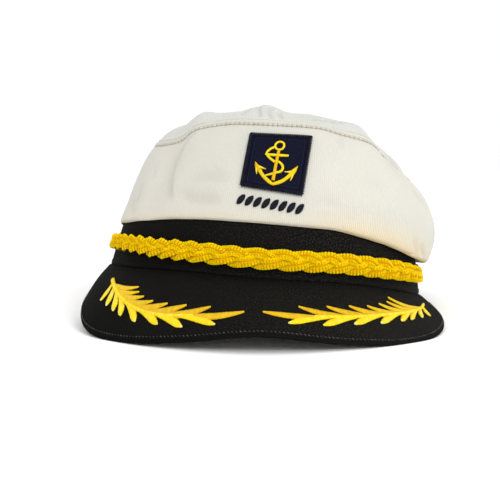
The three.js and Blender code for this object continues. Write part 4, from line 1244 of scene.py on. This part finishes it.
def cord_frame(length, phase):
    middle, out, press = cord_middle(length, phase)
    ahead = cord_middle(np.minimum(length + 0.3, BRAID_LENGTH), phase)[0]
    behind = cord_middle(np.maximum(length - 0.3, 0), phase)[0]
    forward = unit(ahead - behind)
    wide = unit(np.cross(forward, out))
    thick = np.cross(wide, forward)
    return middle, forward, wide, thick, press


def cord_skin(length, phase, turn, grow=0.0):
    """A point of the flat cord's skin, turn in radians from the wide direction, and its normal."""
    middle, forward, wide, thick, press = cord_frame(length, phase)
    cord_share = 1 - through(length, SWAY_AT, SWAY)
    half_width = BRAID_WIDTH / 2 * slimmer(length) * cord_share - EDGE_ROOM + grow
    half_depth = mix(PRESSED_THICKNESS, 1, press) * (CORD_THICKNESS / 2) - FACE_ROOM + grow
    c, s = np.cos(turn), np.sin(turn)
    c = np.sign(c) * np.abs(c) ** CORD_SQUARENESS
    p = middle + wide * (half_width * c)[..., None] + thick * (half_depth * s)[..., None]
    normal = unit(wide * (c * half_depth)[..., None] + thick * (s * half_width)[..., None])
    return p, normal, forward


def knitted_cord(index):
    phase = index * TAU / 3
    lengths = np.linspace(0, BRAID_LENGTH, 300)
    sides = np.arange(14) * TAU / 14
    length_grid, side_grid = np.meshgrid(lengths, sides, indexing="ij")
    body = cord_skin(length_grid, phase, side_grid)[0]
    spread = np.stack([length_grid, side_grid * 2], -1) / 1000
    spread = np.concatenate([spread, spread[:, :1]], 1)
    core = skin(f"cord_core_{index + 1}", place(body), spread, cord_body_painted_shade, loop=True, caps=True)
    settle(core, "gold_cord")
    rows = int(BRAID_LENGTH * CORD_PER_BRAID / ROW_PITCH)
    row_at = (np.arange(rows) + 0.5) * BRAID_LENGTH / rows
    grids = np.meshgrid(row_at, WALE_TURNS, (-1, 1), indexing="ij")
    length, turn, hand = (grid.ravel() for grid in grids)
    p, normal, forward = cord_skin(length, phase, turn, 0.05)
    sideways = np.cross(normal, forward)
    heading = forward + sideways * (hand * LEG_LEAN * mix(EDGE_LEAN, 1, np.sin(turn)))[:, None]
    p = p + sideways * (hand * LEG_SHIFT * mix(EDGE_SHIFT, 1, np.sin(turn)))[:, None]
    chance = np.random.default_rng(20 + index)
    base = place(p)
    spots = {
        "middle": base,
        "x_axis": place(p + heading) - place(p - heading),
        "z_axis": place(p + normal) - base,
        "size": np.array(LEG_SIZE) / 1000,
        "tone": chance.uniform(0.35, 0.95, len(length)),
    }
    name = f"knitted_cord_{index + 1}"
    piece = stitches(name, cord_yarn, spots, Arch=0.5, Taper=0.6, Steps=4, Sides=5)
    settle(piece, "gold_cord", f"braid_cord_{index + 1}")


for index in range(3):
    knitted_cord(index)

# %% [markdown]
# The patch is a square of navy twill, overlocked round its edge. The overlocking is one thick
# thread that wraps the edge over and over, so it is made of wraps, and one line of small
# stitches lies just inside it.

# %% Front panel as a drawing surface
PATCH_SIDE = 30.5
PATCH_THICKNESS = 0.9
PATCH_BORDER = 2.1
PATCH_FOOT = 0.3
PATCH_BELOW_SEAM = 9.6
PATCH_SHIFT = 1.4
PATCH_SKEW = 0.07
PATCH_FAN = 0.1
PATCH_MIDDLE = PATCH_BELOW_SEAM + PATCH_SIDE / 2
mark_ups = np.arange(1, 0.195, -0.01)
mark_line = crown_point(0, mark_ups)
mark_below = np.concatenate([[0], np.cumsum(np.linalg.norm(np.diff(mark_line, axis=0), axis=1))])


def on_panel(x, below, lift):
    """A place on the front of the crown: x to the wearer's left, below down from the seam."""
    x, below, lift = np.broadcast_arrays(*(np.asarray(v, float) for v in (x, below, lift)))
    up = np.interp(below, mark_below, mark_ups)
    across = crown_point(2, up) - crown_point(-2, up)
    azimuth = (x + PATCH_SHIFT) / (np.linalg.norm(across, axis=-1) / 4)
    across = crown_point(azimuth + 2, up) - crown_point(azimuth - 2, up)
    rising = crown_point(azimuth, up + 0.02) - crown_point(azimuth, up - 0.02)
    return place(crown_point(azimuth, up) + unit(np.cross(across, rising)) * lift[..., None])


def on_patch(x, y, lift):
    """A place on the patch, in millimetres from its middle, y up. It is sewn a little askew."""
    fan = PATCH_FAN * x * (0.5 - y / PATCH_SIDE)
    return on_panel(x + PATCH_SKEW * y, PATCH_MIDDLE - y + fan, PATCH_FOOT + PATCH_THICKNESS + lift)


print("the front panel is", round(float(mark_below[-1]), 1), "mm tall on the cloth")

# %% Patch cloth
half = PATCH_SIDE / 2
steps = np.linspace(-half + 0.4, half - 0.4, 60)
x_grid, y_grid = np.meshgrid(steps, steps, indexing="ij")
edge = np.maximum(np.abs(x_grid), np.abs(y_grid))
groove = ridge(edge, half - PATCH_BORDER - 0.2, 0.35, 0.3)
upper = on_patch(x_grid, y_grid, -groove)
lower = on_patch(x_grid, y_grid, -PATCH_THICKNESS)
loops = np.concatenate([upper, lower[:, ::-1]], 1)
BACK_OF_MAP = 60
map_y = np.concatenate([y_grid, BACK_OF_MAP + y_grid], 1)
patch_map = np.stack([np.concatenate([x_grid, x_grid], 1), map_y], -1) / 1000
patch_map = np.concatenate([patch_map, patch_map[:, :1]], 1)
badge_cloth = skin("badge_cloth", loops, patch_map, patch_twill, loop=True, caps=True)
settle(badge_cloth, "navy_patch", "patch")

# %% Overlocked border and its stitch line
WRAP_PITCH = 1.1
WRAP_LENGTH = PATCH_BORDER + 0.7
WRAP_LEAN = 0.18


def border_spots(inset, length, angle, pitch, size, lift, seed):
    """Stitches round the square, inset millimetres from its edge, at an angle to it."""
    reach = half - inset
    far = half - 0.3 if length > PATCH_BORDER else reach
    count = int(2 * far / pitch)
    run = ((np.arange(count) + 0.5) / count * 2 - 1) * far
    parts = []
    chance = np.random.default_rng(seed)
    for side in range(4):
        turn = side * math.pi / 2
        x = run * math.cos(turn) + reach * math.sin(turn)
        y = run * math.sin(turn) - reach * math.cos(turn)
        tone = chance.uniform(0.15, 0.9, count)
        aim = np.full(count, turn + angle) + chance.uniform(-0.06, 0.06, count)
        parts.append(on_surface(on_patch, x, y, aim, lift, (length, *size), tone))
    return together(parts)


wrap_turn = math.pi / 2 + WRAP_LEAN
wrap_inset = PATCH_BORDER / 2 - 0.2
wraps = border_spots(wrap_inset, WRAP_LENGTH, wrap_turn, WRAP_PITCH, (1.12, 0.62), -0.35, 31)
border = stitches("badge_border", border_silk, wraps, Arch=1.6, Taper=0.75, Steps=7, Sides=6)
settle(border, "navy_patch")
line = border_spots(PATCH_BORDER + 0.9, 1.1, 0.35, 1.5, (0.36, 0.4), -0.02, 32)
badge_line = stitches("badge_line", line_silk, line, Arch=0.7, Taper=0.8, Steps=4, Sides=5)
settle(badge_line, "navy_patch")

# %% [markdown]
# Satin stitch. A machine lays threads side by side across each stroke of the drawing, from
# edge to edge. So a stroke is a line with a half width, and the threads are spaced along it.
# A smooth ridge with a stripe on it would be lighter, but it has no threads on its outline.

# %% Satin stitch along a stroke
THREAD_WIDTH = 1.75
TONE_SPREAD = 0.16


def satin(surface, path, tone, relief, pitch, seed, slant=0.0, lift=0.0, tip=0.0):
    """Threads across a path of x, y, half width, in millimetres on a surface. tip is how much
    its last tenth is raised in tone, as a painted highlight."""
    path = np.array(path, float)
    run = np.concatenate([[0], np.cumsum(np.hypot(*np.diff(path[:, :2], axis=0).T))])
    count = max(3, int(run[-1] / pitch))
    at = (np.arange(count) + 0.5) * run[-1] / count
    x, y, wide = (through(at, run, path[:, k]) for k in range(3))
    e = 0.05 * run[-1] / count
    next_x, next_y = (through(at + e, run, path[:, k]) for k in range(2))
    heading = np.arctan2(next_y - y, next_x - x)
    chance = np.random.default_rng(seed)
    angle = heading + math.pi / 2 + slant
    length = 2 * np.maximum(wide, 0.12) / math.cos(slant) * chance.uniform(0.97, 1.06, count)
    size = np.stack([length, np.full(count, pitch * THREAD_WIDTH), np.full(count, relief)], -1)
    tones = tone + chance.uniform(-TONE_SPREAD, TONE_SPREAD, count)
    # Painted highlight: tip raises the tone of each stroke's last tenth.
    tones = tones + tip * smooth(at / run[-1], 0.9, 1)
    return on_surface(surface, x, y, angle, lift, size, tones)


print("a thread is", THREAD_WIDTH, "pitches wide, so that neighbours overlap")

# %% [markdown]
# The anchor with its rope. The strokes are drawn in shares of the emblem's height from the
# middle of the patch. The rope leaves the ring, bows out on one side past the stock, goes behind
# the shank, bows out on the other side and comes back behind it. The shank stands highest, so
# it covers the rope where they cross.

# %% Anchor
EMBLEM_HEIGHT = 24
EMBLEM_DROP = 0.85
STROKE = 0.88


def ring_path(middle_x, middle_y, radius, half_width, count=9):
    """A whole ring, from its right side over the top."""
    turn = np.linspace(0, TAU, count)
    return [(middle_x + radius * math.cos(t), middle_y + radius * math.sin(t), half_width) for t in turn]


ANCHOR = (
    # tone, height, and points as x, y, half width
    # the ring
    (0.85, 0.55, ring_path(0.01, 0.392, 0.092, 0.025)),
    # the rope's upper bow
    (
        0.85,
        0.5,
        (
            (-0.075, 0.36, 0.026),
            (-0.168, 0.3, 0.028),
            (-0.225, 0.19, 0.024),
            (-0.137, 0.09, 0.028),
            (-0.03, 0.02, 0.03),
        ),
    ),
    # the rope's lower bow and its end
    (
        0.85,
        0.5,
        (
            (0.04, 0.04, 0.026),
            (0.125, -0.03, 0.029),
            (0.15, -0.104, 0.029),
            (0.121, -0.171, 0.029),
            (0.05, -0.202, 0.026),
            (-0.085, -0.262, 0.024),
            (-0.178, -0.3, 0.016),
        ),
    ),
    # the stock
    (
        0.8,
        0.55,
        (
            (-0.25, 0.173, 0.014),
            (-0.16, 0.172, 0.03),
            (0, 0.175, 0.032),
            (0.14, 0.18, 0.03),
            (0.22, 0.182, 0.027),
        ),
    ),
    # the shank
    (0.3, 0.8, ((0.008, 0.29, 0.034), (0.004, 0.1, 0.036), (0, -0.15, 0.037), (0, -0.38, 0.04))),
    # the two arms
    (0.7, 0.7, ((0, -0.465, 0.036), (0.1, -0.42, 0.042), (0.204, -0.355, 0.04), (0.3, -0.25, 0.044))),
    (
        0.6,
        0.7,
        ((0, -0.465, 0.036), (-0.098, -0.405, 0.042), (-0.215, -0.31, 0.042), (-0.3, -0.2, 0.044)),
    ),
    # the two flukes, and the two barbs of each
    (
        0.55,
        0.7,
        ((0.438, -0.028, 0.006), (0.405, -0.09, 0.036), (0.35, -0.18, 0.058), (0.29, -0.26, 0.03)),
    ),
    (
        0.2,
        0.7,
        ((-0.416, -0.026, 0.006), (-0.39, -0.08, 0.034), (-0.345, -0.15, 0.056), (-0.29, -0.21, 0.034)),
    ),
    (0.9, 0.55, ((0.34, -0.15, 0.03), (0.27, -0.166, 0.02), (0.195, -0.174, 0.008))),
    (0.9, 0.55, ((-0.34, -0.12, 0.034), (-0.26, -0.14, 0.022), (-0.183, -0.159, 0.008))),
    (0.9, 0.55, ((0.375, -0.17, 0.03), (0.36, -0.26, 0.022), (0.341, -0.345, 0.008))),
    (0.9, 0.55, ((-0.375, -0.13, 0.03), (-0.365, -0.21, 0.022), (-0.344, -0.29, 0.008))),
)


def anchor_stroke(path):
    """From shares of the emblem's height to millimetres on the patch."""
    return np.array(path) * EMBLEM_HEIGHT * [1, 1, STROKE] - [0, EMBLEM_DROP, 0]


parts = [
    satin(on_patch, anchor_stroke(path), tone, height, 0.34, 40 + k, lift=0.1)
    for k, (tone, height, path) in enumerate(ANCHOR)
]
anchor = stitches("badge_anchor", gold_silk, together(parts), Arch=0.6, Taper=0.4, Steps=5, Sides=5)
settle(anchor, "gold_thread", "patch_anchor")

# %% [markdown]
# Under the patch is a plain stitched rope bar in navy: slanting lozenges of satin stitch, side
# by side, as on a twisted rope. It follows the cloth's slope, so it isn't level in the picture.

# %% Rope bar
ROPE_BAR_LENGTH = 33
ROPE_BAR_HEIGHT = 5
ROPE_BAR_BELOW_PATCH = 4
ROPE_TURNS = 8
rope_middle = PATCH_BELOW_SEAM + PATCH_SIDE + ROPE_BAR_BELOW_PATCH + ROPE_BAR_HEIGHT / 2
rope_pitch = ROPE_BAR_LENGTH / ROPE_TURNS
# One lozenge: across in pitches, up in half heights, half width in pitches.
LOZENGE = ((-0.42, -1, 0.1), (-0.22, -0.6, 0.29), (0, 0, 0.36), (0.22, 0.6, 0.29), (0.42, 1, 0.1))


def under_patch(x, y, lift):
    return on_panel(x - 1, rope_middle - y + PATCH_FAN * x, GAP + lift)


parts = []
for turn in range(ROPE_TURNS):
    x = (turn + 0.5 - ROPE_TURNS / 2) * rope_pitch
    rise = ROPE_BAR_HEIGHT / 2
    path = [(x + across * rope_pitch, up * rise, wide * rope_pitch) for across, up, wide in LOZENGE]
    parts.append(satin(under_patch, path, 0.4, 0.6, 0.38, 60 + turn))
bar_spots = together(parts)
rope_bar = stitches("stitched_rope_bar", navy_silk, bar_spots, Arch=0.7, Taper=0.4, Steps=5, Sides=5)
settle(rope_bar, "navy_thread", "rope_bar")

# %% [markdown]
# Leaf sprigs. A stem starts at each outer corner of the peak and curves in towards the middle,
# with a row of leaves on each side. The two sprigs aren't mirror twins: the peak turns away
# more on one side. The leaves are drawn in shares across and out, so they follow the peak.

# %% Sprig tables
STEM_WIDTH = 2.6
STEM_SHARES = (1.25, 1.2, 1.1, 0.95, 0.8, 0.6)
STEM = np.array(
    [
        # across and out for the wearer's right, then for the left
        (0.695, 0.3, 0.808, 0.383),
        (0.65, 0.395, 0.75, 0.43),
        (0.58, 0.51, 0.66, 0.45),
        (0.47, 0.62, 0.5, 0.48),
        (0.35, 0.68, 0.34, 0.55),
        (0.22, 0.68, 0.19, 0.61),
    ]
)
# The first leaves grow from the stem towards the band, and the others towards the rim.
BAND_SIDE_LEAVES = 8
LEAVES = (
    # root along the stem, tip for the right and for the left, width in mm, tone
    (0.16, 0.505, 0.32, 0.56, 0.11, 3.4, 0.48),
    (0.28, 0.488, 0.4, 0.54, 0.2, 3.4, 0.44),
    (0.38, 0.453, 0.46, 0.49, 0.25, 3.8, 0.4),
    (0.48, 0.4, 0.51, 0.425, 0.31, 4.1, 0.32),
    (0.58, 0.333, 0.53, 0.34, 0.34, 4.5, 0.25),
    (0.7, 0.256, 0.54, 0.246, 0.39, 4.8, 0.2),
    (0.82, 0.165, 0.56, 0.139, 0.465, 4.8, 0.2),
    (1.0, 0.048, 0.64, 0.015, 0.63, 4.4, 0.25),
    (0.1, 0.684, 0.63, 0.767, 0.66, 2.4, 0.95),
    (0.2, 0.629, 0.66, 0.697, 0.61, 2.8, 0.95),
    (0.3, 0.575, 0.69, 0.621, 0.6, 3.4, 0.92),
    (0.4, 0.525, 0.72, 0.562, 0.6, 3.9, 0.88),
    (0.5, 0.445, 0.76, 0.453, 0.63, 4.4, 0.88),
    (0.62, 0.347, 0.78, 0.334, 0.67, 4.6, 0.86),
    (0.76, 0.251, 0.81, 0.214, 0.73, 4.6, 0.84),
    (0.9, 0.139, 0.8, 0.096, 0.765, 4.4, 0.82),
)
print("leaves on each sprig:", len(LEAVES))

# %% Sprigs
SLIM_LEAF = ((0, 0.6), (0.22, 0.95), (0.45, 1), (0.7, 0.86), (0.9, 0.5), (1, 0.2))
BROAD_LEAF = ((0, 0.25), (0.3, 0.66), (0.6, 1), (0.8, 0.92), (0.93, 0.5), (1, 0.12))
LEAF_BOW = 0.06
LEAF_SLANT = 0.35
STEM_SLANT = 0.5
STEM_LIFT = 0.25
SPRIG_PITCH = 0.5
SPRIG_SPAN = 0.98
SPRIG_DROP = 0.047
BOWED_DROP = 0.06


def on_the_peak(shares, side):
    """From shares across and out to millimetres. The embroidery sits low where the band bows up."""
    across, out = np.moveaxis(np.asarray(shares, float), -1, 0)
    out = out + SPRIG_DROP + BOWED_DROP * (1 - smooth(out, 0, 0.5))
    return np.stack([across * SPRIG_SPAN * PEAK_ACROSS * side, out * PEAK_ALONG], -1)


def sprig(hand, side):
    column = 0 if hand == "right" else 2
    stem = on_the_peak(STEM[:, column : column + 2], side)
    marks = np.linspace(0, 1, len(stem))
    bowed = LEAF_BOW * (1.0 if hand == "right" else 0.8)
    parts = []
    for k, (root_at, *tips, width, tone) in enumerate(LEAVES):
        shape, way = (SLIM_LEAF, -side) if k < BAND_SIDE_LEAVES else (BROAD_LEAF, side)
        root = np.array([through(root_at, marks, stem[:, 0]), through(root_at, marks, stem[:, 1])])
        reach = on_the_peak(tips[column : column + 2], side) - root
        bow = np.array([-reach[1], reach[0]]) * bowed * way
        path = []
        for t, share in shape:
            spot = root + reach * t + bow * math.sin(math.pi * t)
            path.append((*spot, share * width / 2))
        slant = LEAF_SLANT * way
        # tip=0.3 gives each leaf's last tenth a painted highlight.
        parts.append(satin(on_peak, path, tone, 0.62, SPRIG_PITCH, 80 + k, slant, GAP, tip=0.3))
    stem_path = [(*p, w * STEM_WIDTH / 2) for p, w in zip(stem, STEM_SHARES)]
    slant = STEM_SLANT * side
    parts.append(satin(on_peak, stem_path, 0.9, 0.8, SPRIG_PITCH, 120, slant, GAP + STEM_LIFT))
    name = f"leaf_sprig_{hand}"
    spots = together(parts)
    piece = stitches(name, gold_silk, spots, Arch=0.6, Taper=0.4, Steps=5, Sides=5)
    settle(piece, "gold_thread", f"sprig_{hand}")


sprig("right", -1)
sprig("left", 1)

# %% [markdown]
# Gold side buttons. Each is a stamped dome with a rolled rim on a short shank. A profile is
# spun round its axis, which is how the real one is pressed. The finish is polished but not
# new: the roughness drifts, and the colour drifts between a browner and a paler gold.

# %% Gold button finish
gilt, graph, join = new_finish("gilt brass", 0.28, metallic=1.0)
wear = graph.noise(graph.on_hat(), 260, 4, 0.6)
join("Base Color", graph.blend(wear, colour(0.62, 0.4, 0.09), colour(0.85, 0.62, 0.22)))
join("Roughness", wear * 0.3 + 0.14)
join("Normal", raised(graph, wear, 0.00005))
print("button finish:", gilt.name)

# %% Buttons
BUTTON_DIAMETER = 11
BUTTON_CAP = 1.6
BUTTON_EDGE = 0.85
BUTTON_SHANK = 3.2
BUTTON_TURN = BRAID_SPAN + 2.4
BUTTON_SIDES = 48
DOME_FOOT = 0.55
DOME_EDGE = 0.84
DOME_ROUND = 0.86
POLE = 0.001
# The cap clears the braid's packed cords, which dip this far when they aren't pressed.
PACKED_CORD = 2
PACKED_DIP = (PACKED_CORD + 1.3 * GAP) / math.sqrt(3) / (1 - DIP_SHARPNESS)
BUTTON_CLEAR = 2 * GAP + BRAID_END_PRESS * (2 * PACKED_DIP + PACKED_CORD)


def button_profile():
    """Half a section, as radius and height: the shank, the rolled rim and the dome."""
    radius, shank = BUTTON_DIAMETER / 2, BUTTON_SHANK / 2
    tube = BUTTON_EDGE / 2
    profile = [(POLE, GAP), (shank, GAP), (shank, BUTTON_CLEAR - 0.15), (shank + 0.3, BUTTON_CLEAR)]
    for t in np.radians(np.linspace(-90, 200, 14)):
        profile.append((radius - tube + tube * math.cos(t), BUTTON_CLEAR + tube + tube * math.sin(t)))
    for r in np.linspace(DOME_EDGE, 0, 12):
        rise = (BUTTON_CAP - DOME_FOOT) * math.sqrt(1 - (r / DOME_ROUND) ** 2)
        profile.append((radius * r + POLE, BUTTON_CLEAR + DOME_FOOT + rise))
    return np.array(profile)


def button(name, side, node):
    profile = button_profile()
    spin = np.arange(BUTTON_SIDES) * TAU / BUTTON_SIDES
    foot, forward, up, out = braid_axes(np.array(side * BUTTON_TURN))
    across = forward * np.cos(spin)[:, None] + up * np.sin(spin)[:, None]
    points = foot + across[:, None] * profile[None, :, :1] + out * profile[None, :, 1:]
    round_map = np.linspace(0, 0.03, BUTTON_SIDES + 1)[:, None]
    turn_map = np.stack(np.broadcast_arrays(round_map, profile[None, :, 1] / 1000), -1)
    piece = skin(name, place(points), turn_map, gilt, ring=True, weld=3e-6)
    settle(piece, "button_brass", node)


button("side_button_right", -1, "button_right")
button("side_button_left", 1, "button_left")

# %% [markdown]
# A white table and soft studio light, as in a shop picture: white all round, one large lamp in
# front on the right that gives the cloth its form, a weaker one above, and a low one in front
# that reaches under the peak.

# %% Table and lights
TABLE_REACH = 6.0
table_mesh = bpy.data.meshes.new("table")
corners = [(x * TABLE_REACH, y * TABLE_REACH, 0) for x, y in ((-1, -1), (1, -1), (1, 1), (-1, 1))]
table_mesh.from_pydata(corners, [], [(0, 1, 2, 3)])
table_finish, graph, join = new_finish("pale table", 0.75)
paper = graph.noise(graph.on_hat(), 3)
join("Base Color", graph.blend(paper, colour(0.97, 0.97, 0.97), colour(0.99, 0.99, 0.99)))
table = new_piece("table", table_mesh, table_finish)
LIT_SPOT = Vector((0, 0, 0.05))


def soft_light(name, where, size, energy):
    lamp = bpy.data.lights.new(name, "AREA")
    lamp.shape, lamp.size, lamp.energy = "DISK", size, energy
    light = bpy.data.objects.new(name, lamp)
    light.location = where
    aim = LIT_SPOT - light.location
    light.rotation_euler = aim.to_track_quat("-Z", "Y").to_euler()
    bpy.context.collection.objects.link(light)
    print(name, "light:", energy, "W,", size, "m across")


soft_light("key", Vector((0.8, -1.2, 0.95)), 0.6, 7.2)
soft_light("top", Vector((0.3, 0.35, 1.5)), 0.9, 2.4)
soft_light("front", Vector((0.1, -1.5, 0.14)), 0.7, 2.2)
sky = bpy.data.worlds.new("studio")
sky.use_nodes = True
sky.node_tree.nodes["Background"].inputs["Color"].default_value = colour(1, 1, 1)
sky.node_tree.nodes["Background"].inputs["Strength"].default_value = 1.02
bpy.context.scene.world = sky
bpy.context.scene.view_settings.view_transform = "Standard"
